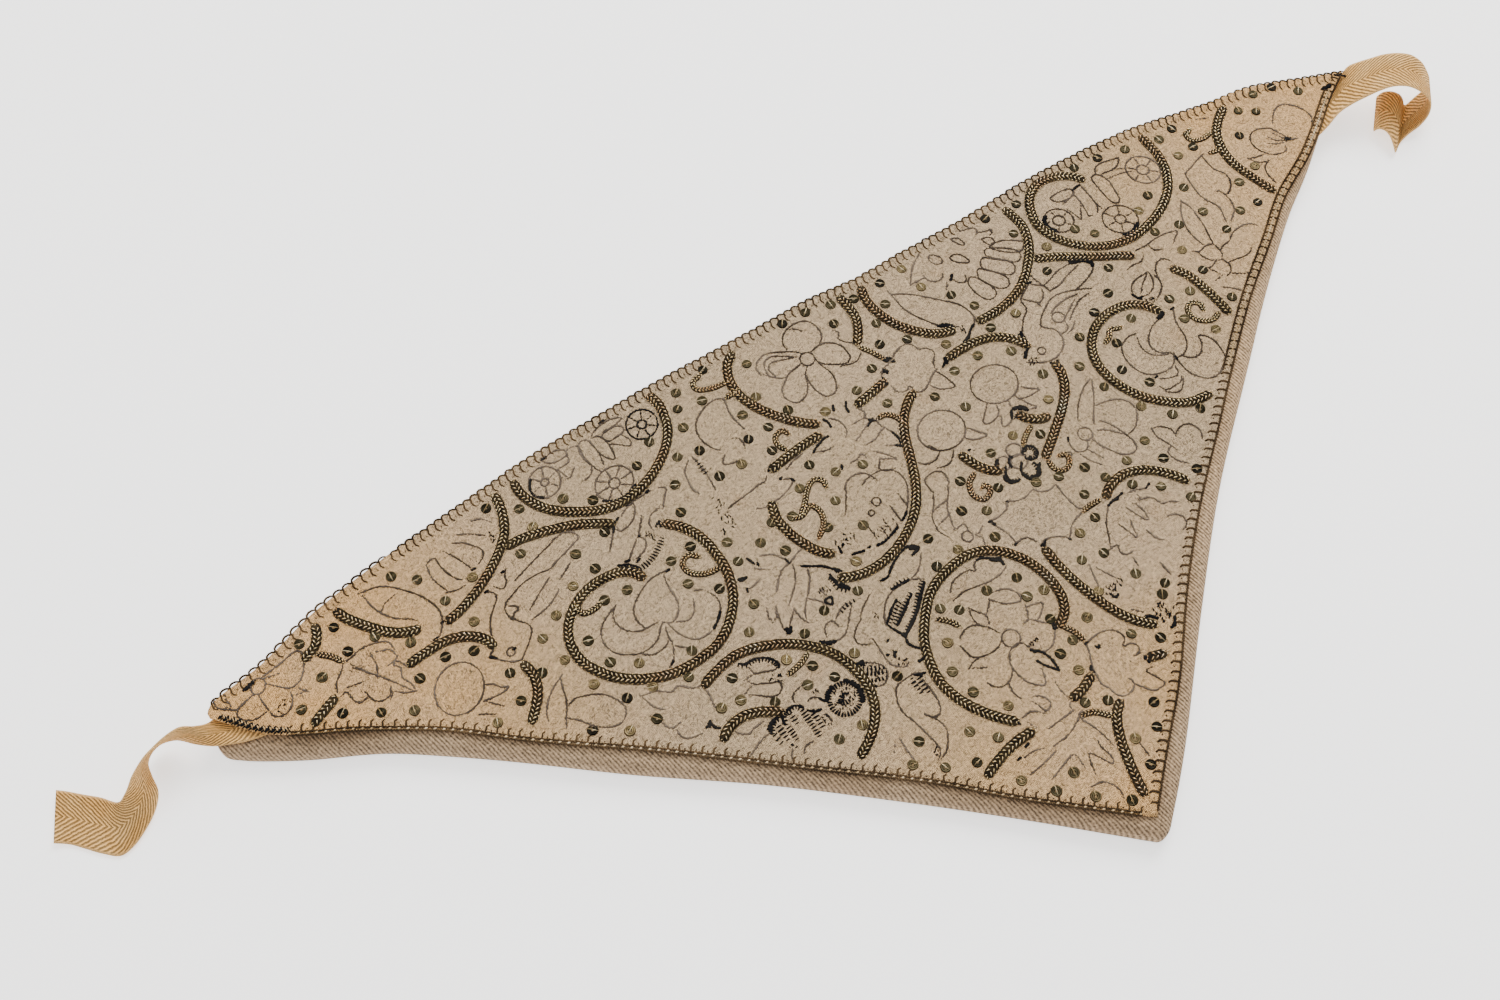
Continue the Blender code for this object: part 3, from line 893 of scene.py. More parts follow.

# %% [markdown]
# The coiling stems
#
# Each stem is a plaited braid of metal thread, 3 mm wide. Under a glass it is
# a row of chevrons with dark pits between them, and a thread binds each of its
# borders. A near-black strip is laid first, low and flat, as painted shade for
# the pits. A link is then repeated along it: two arms that slant back from the
# middle, one half a step behind the other, and a short piece of each border
# thread.

# %% Stem routes
# A chart line for the middle of each stem, by the name of its solid.
STEMS = {name: drawn(route)[0] for name, route in {
    "stem_left_bud": "-1765,25 -5,-30 -25,-32 -50,-13",
    "stem_left_border": "-1910,-232 47,12 53,14",
    "stem_left_shell": "-1692,25 12,-36 22,-38 28,-41 27,-36 31,-31 34,-23 35,-15",
    "stem_left_pear": "-1593,-263 60,-3 65,-8 49,-19 37,-27 24,-30 12,-38",
    "stem_left_fan": "-1433,-228 51,2 48,11 54,19 53,26 45,29 35,32 23,41 15,48 3,45",
    "stem_left_branch": "-1164,-144 46,-6 54,-16 55,-21 47,-21 44,-25 36,-25 38,-28",
    "stem_left_bird": "-1305,-475 10,-55 -15,-50 -40,-45 -27,-21",
    "stem_wheels_left": """
        -1035,27 -1,-47 17,-56 28,-44 36,-37 41,-31 42,-26 45,-19 54,-8 55,5 56,18 54,29 45,39 27,41
        16,55 1,44 -13,30""",
    "stem_pansy_left": """
        -860,-490 -18,36 -29,26 -48,15 -45,4 -46,-7 -46,-21 -36,-29 -22,-37 -8,-44 6,-47 22,-46 31,-44
        37,-36 46,-32 53,-26 54,-14 54,-4 55,4 50,19 42,32 35,41 22,45 11,45 2,54 -5,54 -14,46 -26,44
        -37,40""",
    "stem_middle_edge": "-220,-5 -40,-30 -25,-55 0,-60 25,-70 45,-70 45,-50 40,-32",
    "stem_middle_bar": "-350,-420 68,10 62,6 75,1",
    "stem_berry_inner": "-403,-505 -17,-55 5,-60 20,-60 27,-50 33,-30",
    "stem_berry": "-374,-828 47,-24 54,-11 55,2 54,14 54,25 57,42 48,61 39,79 33,83 34,57 47,44 37,21",
    "stem_cloud_left": "0,-380 60,10 70,13",
    "stem_middle_right": "178,-15 5,-45 -3,-55 -25,-50 -27,-33",
    "stem_shell_right": "260,-20 -14,-50 4,-60 25,-70 45,-60 50,-40 55,-17",
    "stem_fan_right": "500,-327 70,2 70,15 70,35 60,55 45,60 25,70 -3,50 -7,40",
    "stem_branch_right": "794,-216 29,-11 47,-21 55,-30 60,-34 55,-25 40,-23",
    "stem_wheels_right": """
        1125,-30 -32,38 -55,23 -58,-1 -50,-32 -33,-52 -13,-56 15,-61 38,-55 57,-44 64,-22 67,-2 68,18
        77,38 66,57 40,65 18,72 -2,56 0,34""",
    "stem_bird_right": "340,-390 70,5 70,-5 55,-23 35,-37 17,-35",
    "stem_fruit": "620,-570 -5,-50 -25,-50 -45,-50 -50,-42 -55,-43 -50,-37",
    "stem_fruit_inner": "410,-665 20,-35 42,-25 23,3",
    "stem_posy": "177,-690 16,-50 27,-45 35,-25",
    "stem_pansy_right": """
        1020,-580 -25,40 -45,30 -60,7 -70,-20 -50,-40 -33,-57 -7,-60 15,-70 35,-65 50,-48 60,-37 80,-5""",
    "stem_right_long": "1150,-450 30,-50 15,-70 7,-60 1,-55",
    "stem_right_bud": "1705,30 -45,-35 -45,-50 -25,-65 -5,-60 15,-70 20,-65 10,-28",
    "stem_lobed_leaf": """
        -898,-870 56,14 72,7 54,-12 53,-23 55,-33 46,-41 38,-48 25,-58 10,-56 -3,-52 -18,-48 -36,-44
        -41,-29 -45,-21""",
    "stem_larva": "-938,-1038 38,21 46,4 46,-14 36,-23 31,-23",
    "stem_rose": """
        -185,-1492 -42,48 -32,45 -24,46 -15,45 -6,45 5,45 12,42 16,38 24,35 31,35 36,34 44,26 54,16 55,7
        54,-6 46,-24 36,-35 27,-42 19,-54 7,-54 -8,-54 -23,-39 -41,-27""",
    "stem_oak_leaf": "208,-1086 0,-57 6,-50 10,-53 14,-54 19,-54 23,-46 30,-39 31,-28",
    "stem_thistle": "464,-1050 36,26 59,14 59,-15 45,-33 31,-36 22,-36",
    "stem_front_left": "-360,-1570 50,17 70,16 80,2",
    "stem_front_cloud": "-15,-1520 45,6 55,24",
    "stem_front_stub": "250,-1535 35,-10 25,-7",
    "stem_front_corner": "108,-1598 -38,-30 -28,-46 -20,-53 -16,-55 -10,-44 -6,-40",
}.items()}
print("Stem routes:", len(STEMS))

# %% Plait the stems
STEM_HALF_WIDTH = 1.62
TENDRIL_HALF_WIDTH = 0.98
CURVE_STEPS = 6
SHADE_STRIP_STEP = 1.2
SHADE_STRIP_END = 0.5  # how wide a shade strip's ends are, beside its middle

# Columns: share of the half width, height. The section of a shade strip.
SHADE_STRIP_SECTION = [(-1.0, -0.05), (-0.92, 0.30), (0.92, 0.30), (1.0, -0.05)]


def laid(rows, step=1.0, above=0.0, closed=False):
    """Return a smooth line of points on the linen, and whether it closes."""
    points = smooth(rows, CURVE_STEPS, closed)
    if closed:
        points.append(points[0])
    line = [on_linen(point.x, point.y, above) for point in even(points, step)]
    if closed:
        line.pop()
    return line, closed


def make_shade_strips(strips):
    """Near-black strips of painted shade: a low strip under each braid and each tendril."""
    verts = []
    faces = []
    for rows, half_width in strips:
        line = even(smooth(rows, CURVE_STEPS), SHADE_STRIP_STEP)
        faces += loft_faces(len(line), len(SHADE_STRIP_SECTION), len(verts))
        for place, point in enumerate(line):
            narrow = SHADE_STRIP_END if place in (0, len(line) - 1) else 1.0
            side = leftwards(ahead_at(line, place)) * half_width * narrow
            for across, up in SHADE_STRIP_SECTION:
                verts.append(on_linen(point.x + side.x * across, point.y + side.y * across, up))
    return make_piece("stem_cores", verts, faces, SHADE_STRIP_FINISH)


plait_link = make_link(
    "plait_link",
    [(0.66, -0.02, 0.46, 0.12, 0.12), (0.10, -0.60, 0.96, 0.18, 0.18), (-0.54, -1.14, 0.40, 0.12, 0.12)],
    [(1.34, 0.02, 0.46, 0.12, 0.12), (0.78, 0.60, 0.96, 0.18, 0.18), (0.14, 1.14, 0.40, 0.12, 0.12)],
    [(-0.52, 1.48, 0.26, 0.08, 0.08), (0.0, 1.56, 0.60, 0.17, 0.16), (0.50, 1.48, 0.26, 0.08, 0.08)],
    [(-0.26, -1.48, 0.22, 0.08, 0.08), (0.26, -1.56, 0.52, 0.15, 0.14), (0.76, -1.48, 0.22, 0.08, 0.08)])
stem_lines = [laid(rows) for rows in STEMS.values()]
stems = stitch(
    "plaited_stems", stem_lines, plait_link, pitch=1.38, finish=BRAID_FINISH,
    turn=0.10, size=0.06, seed=3, taper=1.8)
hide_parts(*STEMS)
print("Stems:", len(STEMS), "with", len(stems.data.polygons), "faces")

# %% [markdown]
# Tendrils
#
# Small chains of twisted wire curl off the stems. Each is a narrow plait, about
# 2 mm wide, and its link is two slanting arms that meet like a V. A near-black
# strip of painted shade lies under it too.

# %% Tendrils
# A chart line for each tendril.
TENDRILS = drawn("""
    -1800,-60 30,-30 25,-40; -1080,-430 5,-35 40,-10 25,5; -650,-595 -50,10 -40,35 0,35 30,10 25,-25;
    -290,-85 -60,10 -40,25 5,25 35,10; -330,-130 50,0; -265,-390 -15,30 10,30 30,5 10,-25; -355,-600 35,30
    40,40 30,10 20,-20 -5,-25; -380,-590 30,-10 40,15 15,-35 -15,-40 -40,-30; 30,-455 30,0 25,-25 5,-25;
    130,-210 25,-40 15,-35; 180,-770 -35,-20 -15,-40 20,-30 35,15 -5,25 -15,-5; 395,-850 0,-35 20,-20 30,10
    10,30 -25,10; 425,-725 -35,-20 -30,-25; 795,-595 30,15 15,20 40,-10; 1180,-665 -40,-15 -40,25 -5,35
    25,25 25,-15 -5,-30; 1600,-45 -40,-10 -35,10 0,30 25,10; 1580,-120 -40,5; -670,-990 50,5 40,15;
    100,-1320 20,-35 10,-40; -200,-1100 30,-30 15,-30; 450,-1045 -40,0 -30,-5; -20,-1575 35,-10
    40,-40""")
chain_link = make_link(
    "chain_link",
    [(0.44, -0.02, 0.34, 0.11, 0.11), (0.06, -0.40, 0.64, 0.17, 0.16), (-0.38, -0.78, 0.28, 0.11, 0.11)],
    [(0.92, 0.02, 0.34, 0.11, 0.11), (0.54, 0.40, 0.64, 0.17, 0.16), (0.10, 0.78, 0.28, 0.11, 0.11)])
tendril_lines = [laid(rows) for rows in TENDRILS]
tendrils = stitch(
    "chain_tendrils", tendril_lines, chain_link, pitch=0.96, finish=BRAID_FINISH,
    turn=0.12, size=0.08, seed=5)
# Painted shade: a near-black strip under the braids and tendrils darkens the pits between their links.
shade_strips = make_shade_strips(
    [(rows, STEM_HALF_WIDTH) for rows in STEMS.values()]
    + [(rows, TENDRIL_HALF_WIDTH) for rows in TENDRILS])
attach(shade_strips, "root")
print("Tendrils:", len(TENDRILS))

# %% [markdown]
# Spangles
#
# A spangle is a small punched ring of flattened wire, 3.4 mm across, dished by
# the hammer and held by a wire that crosses it. A second tree sets one on each
# place of a chart, turned by chance but always from the same seed. The wires
# are set on the same places, so that each turns with its spangle. A few
# spangles have kept their brightness, and a few have gone black.

# %% Spangle places
# Each place is u,v in full, in tenths of a millimetre.
SPANGLES = dots("""
    -1830,0 -1630,-125 -1820,-130 -1915,-170 -1725,-330 -1640,-390 -1500,0 -1440,-60 -1400,-170
    -1550,-210 -1360,-280 -1580,-320 -1485,-315 -1405,-355 -1150,0 -1350,-480 -1270,-540 -1195,-550
    -1365,-570 -1135,-190 -1065,-65 -935,-120 -860,-180 -685,-165 -610,-120 -565,-215 -495,-140 -475,-75
    -450,-25 -395,-95 -335,-5 -205,-65 -495,-235 -315,-210 -245,-180 -995,-295 -885,-290 -620,-290
    -490,-345 -655,-375 -970,-370 -270,-290 -185,-275 -410,-350 -305,-365 -90,-345 -235,-470 -305,-520
    -180,-535 -95,-560 -235,-615 -305,-675 -375,-585 -440,-565 -505,-600 -590,-540 -690,-485 -765,-490
    -760,-580 -925,-485 -1000,-470 -1105,-545 -1085,-640 -690,-650 -595,-610 -455,-665 55,-10 140,-30
    215,-50 110,-95 410,-35 290,-120 425,-125 225,-165 490,-200 190,-235 275,-265 530,-270 120,-295
    35,-335 370,-345 525,-365 625,-360 875,-5 800,-100 860,-195 980,-180 805,-275 980,-360 920,-440
    745,-535 830,-610 925,-555 785,-700 680,-625 530,-470 430,-430 335,-440 230,-485 290,-565 90,-425
    565,-590 1025,-225 1125,30 1315,20 1435,5 1500,25 1735,-5 1815,30 1950,-20 1780,-35 1450,-80
    1515,-70 1265,-175 1200,-215 1385,-200 1195,-310 1280,-320 1380,-310 1555,-260 1485,-360 1225,-410
    1400,-405 1235,-505 1075,-550 1150,-555 1070,-635 1250,-635 -865,-760 -690,-815 -630,-750 -915,-820
    -1060,-865 -810,-900 -825,-970 -555,-915 -465,-890 -345,-895 -590,-1010 -745,-1035 -635,-1050
    -555,-1075 -400,-1180 -650,-1235 -570,-1240 -210,-730 -255,-1260 -240,-1345 -460,-1375 -70,-875
    -100,-965 125,-770 70,-855 135,-895 210,-850 105,-980 260,-740 355,-725 430,-765 700,-725 830,-780
    820,-910 905,-935 320,-895 390,-915 475,-930 690,-945 600,-975 510,-990 420,-1005 700,-1025
    565,-1050 635,-1100 400,-1085 280,-1180 350,-1195 690,-1175 -20,-1110 -125,-1115 -170,-1080 80,-1125
    70,-1190 85,-1285 390,-1300 180,-1340 100,-1375 45,-1390 445,-1370 415,-1395 -515,-1420 -320,-1435
    -440,-1480 -260,-1495 -355,-1520 260,-1450 325,-1505 15,-1550 75,-1580 -280,-1635 -215,-1715
    -140,-1700 -130,-1790 -50,-1855""")
BRIGHT_SPANGLES = dots("""
    -1295,-160 -1215,-455 -1455,-580 -1145,-420 -1160,-665 -1060,-140 -1055,-375 -1015,-695 525,-675
    1640,-225 1130,-715 -1020,-780 -1145,-845 -885,-955 -645,-950 -295,-815 -465,-1050 -215,-1180
    -15,-955 755,-840 330,-1105 125,-1200 260,-1290 -180,-1435 60,-1460 70,-1715""")
BLACK_SPANGLES = dots("""
    765,-1105 -1720,-20 -1720,-110 -1820,-260 60,-1800 185,-1655 145,-1720 320,-45 -30,-5 755,-5 1215,30
    1675,-95 840,-480 1555,-355 -345,-290 -1235,-775 -1100,-760 1885,30""")
print("Spangles:", len(SPANGLES), "dull,", len(BRIGHT_SPANGLES), "bright and", len(BLACK_SPANGLES), "black")

# %% The model of a spangle
SPANGLE_RADIUS = 1.7
HOLE_RADIUS = 0.38
AROUND = 18

# Columns: radius, height, in millimetres, round the ring's section.
SPANGLE_SECTION = [
    (HOLE_RADIUS, 0.10), (0.66, 0.34), (0.84, 0.34), (1.06, 0.12), (1.26, 0.36), (1.40, 0.36),
    (1.60, 0.14), (SPANGLE_RADIUS, 0.03), (HOLE_RADIUS, 0.03),
]


def make_spangle_model():
    """A dished ring of flattened wire, as a hidden model."""
    verts = []
    faces = []
    size = len(SPANGLE_SECTION)
    for k in range(AROUND):
        angle = 2 * math.pi * k / AROUND
        first, second = k * size, ((k + 1) % AROUND) * size
        for j, (radius, height) in enumerate(SPANGLE_SECTION):
            after = (j + 1) % size
            verts.append(Vector((radius * math.cos(angle), radius * math.sin(angle), height)) * MM)
            faces.append((first + j, second + j, second + after, first + after))
    return make_model("spangle_model", verts, faces)


spangle_model = make_spangle_model()
print("A spangle has", len(spangle_model.data.polygons), "faces")

# %% The setting tree


def make_setting_tree():
    """Build the tree that sets a model on every point of a mesh."""
    graph, given = new_tree("setting", {"Places": "Geometry", "Model": "Object", "Finish": "Material"})
    turn = graph.node("GeometryNodeInputNamedAttribute", {"data_type": "FLOAT_VECTOR"}, {0: "turn"})
    size = graph.node("GeometryNodeInputNamedAttribute", {"data_type": "FLOAT"}, {0: "size"})
    points = graph.node("GeometryNodeMeshToPoints", None, {"Mesh": given["Places"]})
    rotation = graph.node("FunctionNodeEulerToRotation", None, {0: turn})
    return end_tree(graph, given, points, rotation, size)


SETTING = make_setting_tree()

# Columns: name, kind and slot of what is kept at each place.
PLACE_LAYERS = [("turn", "FLOAT_VECTOR", "vector"), ("size", "FLOAT", "value"), ("tone", "FLOAT", "value")]


def set_pieces(name, places, model, finish):
    """Set a model on places, each a dictionary of point, turn, size and tone."""
    mesh = bpy.data.meshes.new(name)
    mesh.from_pydata([place["point"] for place in places], [], [])
    for key, kind, slot in PLACE_LAYERS:
        layer = mesh.attributes.new(key, kind, "POINT")
        for k, place in enumerate(places):
            setattr(layer.data[k], slot, place[key])
    return work(SETTING, name, mesh, finish, {"Model": model})


print("The setting tree has", len(SETTING.nodes), "nodes")

# %% Set the spangles
SPANGLE_SEED = 11
SPANGLE_TILT = 0.06  # radians

# Columns: places, lowest and highest tone.
SPANGLE_TONES = [(SPANGLES, 0.06, 0.60), (BRIGHT_SPANGLES, 0.54, 0.68), (BLACK_SPANGLES, 0.0, 0.02)]


def spangle_places():
    """Return every spangle with its turn, tilt, size and tone."""
    luck = random.Random(SPANGLE_SEED)
    places = []
    for table, low, high in SPANGLE_TONES:
        for u, v in table:
            places.append({
                "point": on_linen(u, v),
                "turn": (luck.gauss(0, SPANGLE_TILT), luck.gauss(0, SPANGLE_TILT), luck.uniform(0, math.pi)),
                "size": luck.uniform(0.96, 1.05),
                "tone": luck.uniform(low, high),
            })
    return places


places = spangle_places()
wire_model = make_link(
    "wire_model",
    [(-1.55, 0.0, 0.30, 0.10, 0.08), (-0.8, 0.05, 0.44, 0.13, 0.10), (0.1, 0.0, 0.52, 0.17, 0.12),
     (1.0, -0.03, 0.46, 0.14, 0.10), (1.62, 0.0, 0.38, 0.11, 0.08), (2.15, 0.03, 0.06, 0.08, 0.06)])
spangles = set_pieces("spangles", places, spangle_model, SPANGLE_FINISH)
wires = set_pieces("spangle_wires", places, wire_model, WIRE_FINISH)
print("Faces of the spangles:", len(spangles.data.polygons), "and of their wires:", len(wires.data.polygons))

# %% [markdown]
# Outlines in silk
#
# The flowers, leaves, shells, birds and wheels were first drawn on the linen
# and then worked in a single line of brown silk, about 0.6 mm wide. Each motif
# has a few chart lines, read from the photograph, which are joined by smooth
# curves. A line that ends where it began is closed. The stitching tree then
# lays one short back stitch after another along every curve.

# %% The chart of the upper row
# Chart lines for each motif.
UPPER_ROW = {
    "bud at the left tip": """
        -2116,32 -5,-17 8,-18 21,-21 19,-16 18,0 21,0; -2083,20 -2,-17 3,-21; -1968,-10 68,-2 55,0 10,-23
        -20,-40 -20,-18 -35,-2 -35,35 -20,25; -2000,-53 4,-47 8,-35 36,-15 29,20 5,25; -2015,-37 -45,-2
        -20,-16 15,-30 25,-17 35,-4; -2095,-14 15,-22; -1960,-18 38,-16; -1904,-123 24,-11; -1890,-114
        17,-25""",
    "double flower, left": """
        -1747,-132 32,0 32,3 50,-16 28,-20 5,-30; -1647,-168 37,-22 6,-28; -1638,-225 23,-2 15,-23 5,-14;
        -1747,-132 -14,-16 -32,-25 -9,-22; -1800,-214 21,0 4,-31 15,-23 26,4; -1734,-250 12,-40 25,-15 20,3
        12,16; -1729,-164 59,-81 55,-91; -1602,-220 -24,-14 14,-18 -10,-32 14,-32 0,-28; -1608,-344 -34,20
        -22,22 -18,-14; -1770,-204 46,-14; -1726,-158 30,-50; -1666,-160 -2,-44 -16,-32""",
    "leaf, left": """
        -1608,20 68,-26 57,-62 37,-59 16,-66 -28,-50 -42,-17; -1600,5 7,-45 18,-45 25,-35 35,-30 13,-15;
        -1580,-77 20,17 40,5""",
    "shell, left": """
        -1393,-40 -5,-42 8,-38 10,-25; -1382,-34 19,0 4,-34 7,-32 16,-36 9,-9; -1327,-36 17,-32 12,-27
        12,-32; -1290,-32 26,-18 24,-32 13,-23 -5,-18 -23,-13; -1264,-18 28,-18 26,-24 12,-10; -1205,-7
        23,-11 22,-27; -1382,-152 27,-12 28,-4""",
    "bird, left": """
        -1286,-225 22,-20 -4,-19 -22,-18 -28,-27 -18,-36 -9,-32 -28,-23; -1255,-227 19,-23 18,10 8,22 10,13;
        -1261,-350 -5,32 11,23 32,11 46,11 59,-4 32,-9 31,9 25,4 36,9 34,9 -6,23 -23,18 -41,0; -1259,-345
        19,13 13,0 -5,14 -13,9; -1190,-250 63,14 54,11 37,7; -1200,-355 45,23 50,23; -1077,-332 50,23;
        -1365,-415 20,-23 25,-22 20,-8; -1295,-465 20,13 20,14 25,25 3,16 -8,17 -15,20 -9,20; -1210,-385
        50,2 30,8 30,15""",
    "leaves between the wheels, left": """
        -923,25 25,-25 50,-1 0,17 -32,16 -43,-7; -898,-27 43,2 5,18; -898,-30 9,-25 4,-20 32,20; -850,-5
        6,14 19,2 18,-9 -5,-25 2,-32 7,-25; -805,-84 -11,-16 -19,-9 -18,2; -803,2 13,7 20,-7 6,-29 2,-33
        -7,-35; -803,2 -4,-52 9,-45 9,-19; -753,-2 18,-5 10,-20 4,-28 -2,-27 -7,-23 -9,5 -18,27 -5,23;
        -723,-14 29,5 28,-5 13,-13 -4,-14 -32,-4 -27,2 -7,29; -748,7 27,11 36,2 32,-9 14,-9 -27,-9 -46,2;
        -716,-55 18,-13 18,-18 16,-9 7,13 -5,18 -8,14""",
    "sprig below the wheels, left": """
        -812,-275 23,11 36,5 37,0 18,-1; -762,-268 -13,-27 -28,-19 -32,-4 -13,4 4,14; -862,-305 -41,-45;
        -666,-268 16,-12 -21,-25 -23,-27; -757,-373 0,23 22,23 32,4; -807,-364 18,19 27,31; -877,-415 27,21
        32,25; -845,-419 22,4 23,14 5,23 -10,13""",
    "bud, left of the middle": """
        -544,-245 -27,-23 -9,-32 -2,-36 7,-19; -525,-240 5,-46 0,-46 -5,-41""",
    "oval leaf": """
        -398,-118 -37,-18 -22,-19 -13,-35 4,-37 18,-37 7,-6; -398,-118 32,4 27,-9 4,-13 -9,-37 0,-37 5,-30
        2,-10; -385,-260 15,-8 4,-18 -4,-24; -439,-295 -18,-19 13,-13 24,-5""",
    "bud, middle": """
        -189,-123 0,28 18,18 32,9 36,-14 23,-13 23,-14 18,-18; -169,-136 3,27 13,19 28,4 30,-19 35,-25;
        -153,-150 -4,32 18,13 32,-9 37,-13; -180,-127 27,-32 23,-14 18,5 55,9; -112,-170 -32,-20 -18,-15
        -7,-22 5,-23 20,-20 28,4 13,7 23,32 10,27 20,20; -70,-200 -5,-36 5,-37 13,-27 22,-5 15,5 17,27 5,37
        -9,31 -5,32; -7,-140 32,6 35,-11 24,-28 4,-27 -4,-27 -19,-9 -31,13 -32,23 -7,10; -69,-90 0,22 21,28
        32,13 31,0 28,-13 13,-28 0,-32 -9,-18 -22,-16; -20,-36 16,-8 10,-15; 90,-145 8,-19 22,-22 5,-14;
        43,-236 50,-12 27,16; 93,-114 13,-13 -13,-18""",
    "leaf, right": """
        325,-82 3,-45 2,-32 14,-41 18,-32 27,-41 27,-22 23,-14; 330,-100 40,-23 46,-41 41,-41 32,-35
        14,-37 0,-32 -14,-18""",
    "shell, right": """
        562,-190 -2,-28 6,-32 14,-23 23,-4 17,18 -8,41 -18,36 -14,9 -18,-17; 603,-190 13,-37 19,-28 22,-9
        18,9 5,23 -18,32 -23,27 -19,14 -17,-31; 635,-160 38,-50 25,-20 25,12 4,25 -42,41 -29,22 -21,-30;
        673,-127 37,-41 33,-30 25,13 0,25 -38,33 -45,21 -12,-21; 702,-106 41,4 42,-21 25,-25 -33,-20 -42,20
        -33,42; 698,-68 25,-5 7,-20 -20,-9 -12,34; 506,-52 12,17 25,-25 -4,-20 -21,3 -12,25; 568,-77 9,-25
        37,-21 -16,46 -30,0; 614,-18 13,-34 12,-8 -4,33 -21,9; 457,-82 0,-28 18,-20 28,0 9,12; 530,-155
        5,-13 18,-12 13,7 4,12; 490,-173 8,9 7,12; 402,-98 41,50 50,34; 403,-100 50,0; 658,-7 14,-2 18,-2
        14,-9 2,-10 -11,-11; 701,-39 30,-9 18,-4 -16,-14""",
    "double flower, middle": """
        148,-314 22,4 20,10 35,18 37,5 18,-18 5,-19 22,-9 13,-22 -8,-19 -14,-13 -8,-21; 148,-314 -9,-9
        -9,-13; 136,-383 3,-22 16,-13 18,1 13,9 1,-20 8,-16 23,-2 18,9 19,13 18,12 18,7; 243,-446 16,-23
        32,-16 14,-2 -3,32 -9,27 -7,18""",
    "bird, right": """
        881,-286 -46,-5 -36,-14 -32,-11; 942,-332 -11,-11 -27,-16 -37,-14 -27,-7; 899,-305 -54,-18 -37,-16
        -36,-4; 726,-289 21,-16 16,-13 4,-25; 751,-268 3,-23 4,-14; 672,-323 18,-20 16,-16 7,-5 27,16 9,21;
        706,-359 2,-21; 549,-530 23,-16 27,-12 32,-3 27,8 23,16 14,22 4,23 -7,23 -16,14 -11,13 7,14 23,23
        27,18 27,16 36,4 37,-7 36,-13 27,-12; 598,-430 15,15 18,23 32,27 5,38 60,40; 740,-465 -5,-22 -18,-9
        -17,0; 722,-415 32,14 41,7 36,-2; 749,-451 36,23 28,18; 758,-465 37,28 36,20 34,5; 722,-505 23,9
        22,18""",
    "leaves between the wheels, right": """
        983,-39 21,7 36,2 23,-6 4,-14 -18,-14 -32,-4 -22,7 -12,22; 1008,-77 27,9 28,11; 1006,-102 7,-25
        7,-28; 1058,-100 -18,-27 -14,-23; 1060,-57 0,-43 -6,-36 -3,-21 9,-2; 1099,-41 2,-64 -6,-36 -10,-14;
        1101,-41 0,-77 3,-32; 1145,-59 0,-50 4,-36 14,-10 13,10 9,40 5,41 -9,28 -14,11 -18,-5 -4,-29;
        1172,-20 13,20 23,7 51,-5 16,-2 -20,-23 -19,-9 -46,0; 1236,-34 32,-11; 1190,-57 60,-2 27,-7""",
    "leaf at the branch, right": """
        1099,-343 41,2 27,7 55,4 37,-9 -23,-20 -16,-14; 1145,-348 4,-20 23,-9; 1089,-487 5,22 13,32 23,21
        23,2 13,-14; 988,-478 7,18 18,16 27,9 27,2 12,5 0,-23 -12,-27 -18,-18 -27,-9 -18,3; 1013,-487 27,27
        32,23; 1040,-533 32,23 13,14 7,22 -2,19; 1031,-392 23,5 31,0 19,13""",
    "moth leaf and long leaf": """
        1523,-111 -32,-12 -36,-18 -28,-11 -9,-25 -4,-32 -3,-36 7,-32 14,-28 2,-22 -9,-28 -7,-22; 1516,-118
        -2,-32 4,-32 16,-23 2,-27 -13,-27 -23,-21 -14,-4 -9,20 -13,7; 1482,-282 2,-27 -11,-36 -18,-19
        -19,-16; 1345,-243 -18,-21 -18,-31 -11,-28 -8,-37 1,-27 5,-32; 1345,-243 10,-34 -3,-41 -5,-42 -8,-27
        -10,-41; 1595,23 37,-9""",
    "moon at the right end": """
        1797,-99 21,27 27,21 28,2 25,-18 18,-28 4,-36 -11,-18; 1786,-140 -9,23 -22,13 -28,5 -22,-12 -14,-24
        0,-32 14,-28 22,-18 37,-4 9,18; 1786,-140 10,-24 3,-18 23,-9; 1750,-145 13,-21 25,-13; 1772,-138
        11,-24 11,-14; 1736,-166 26,-16 24,-4; 1641,-190 23,-5 27,-1; 1641,-190 18,-27 32,-9; 1691,-226
        -23,-14 -13,-32 1,-41""",
}
print("Motifs:", len(UPPER_ROW))

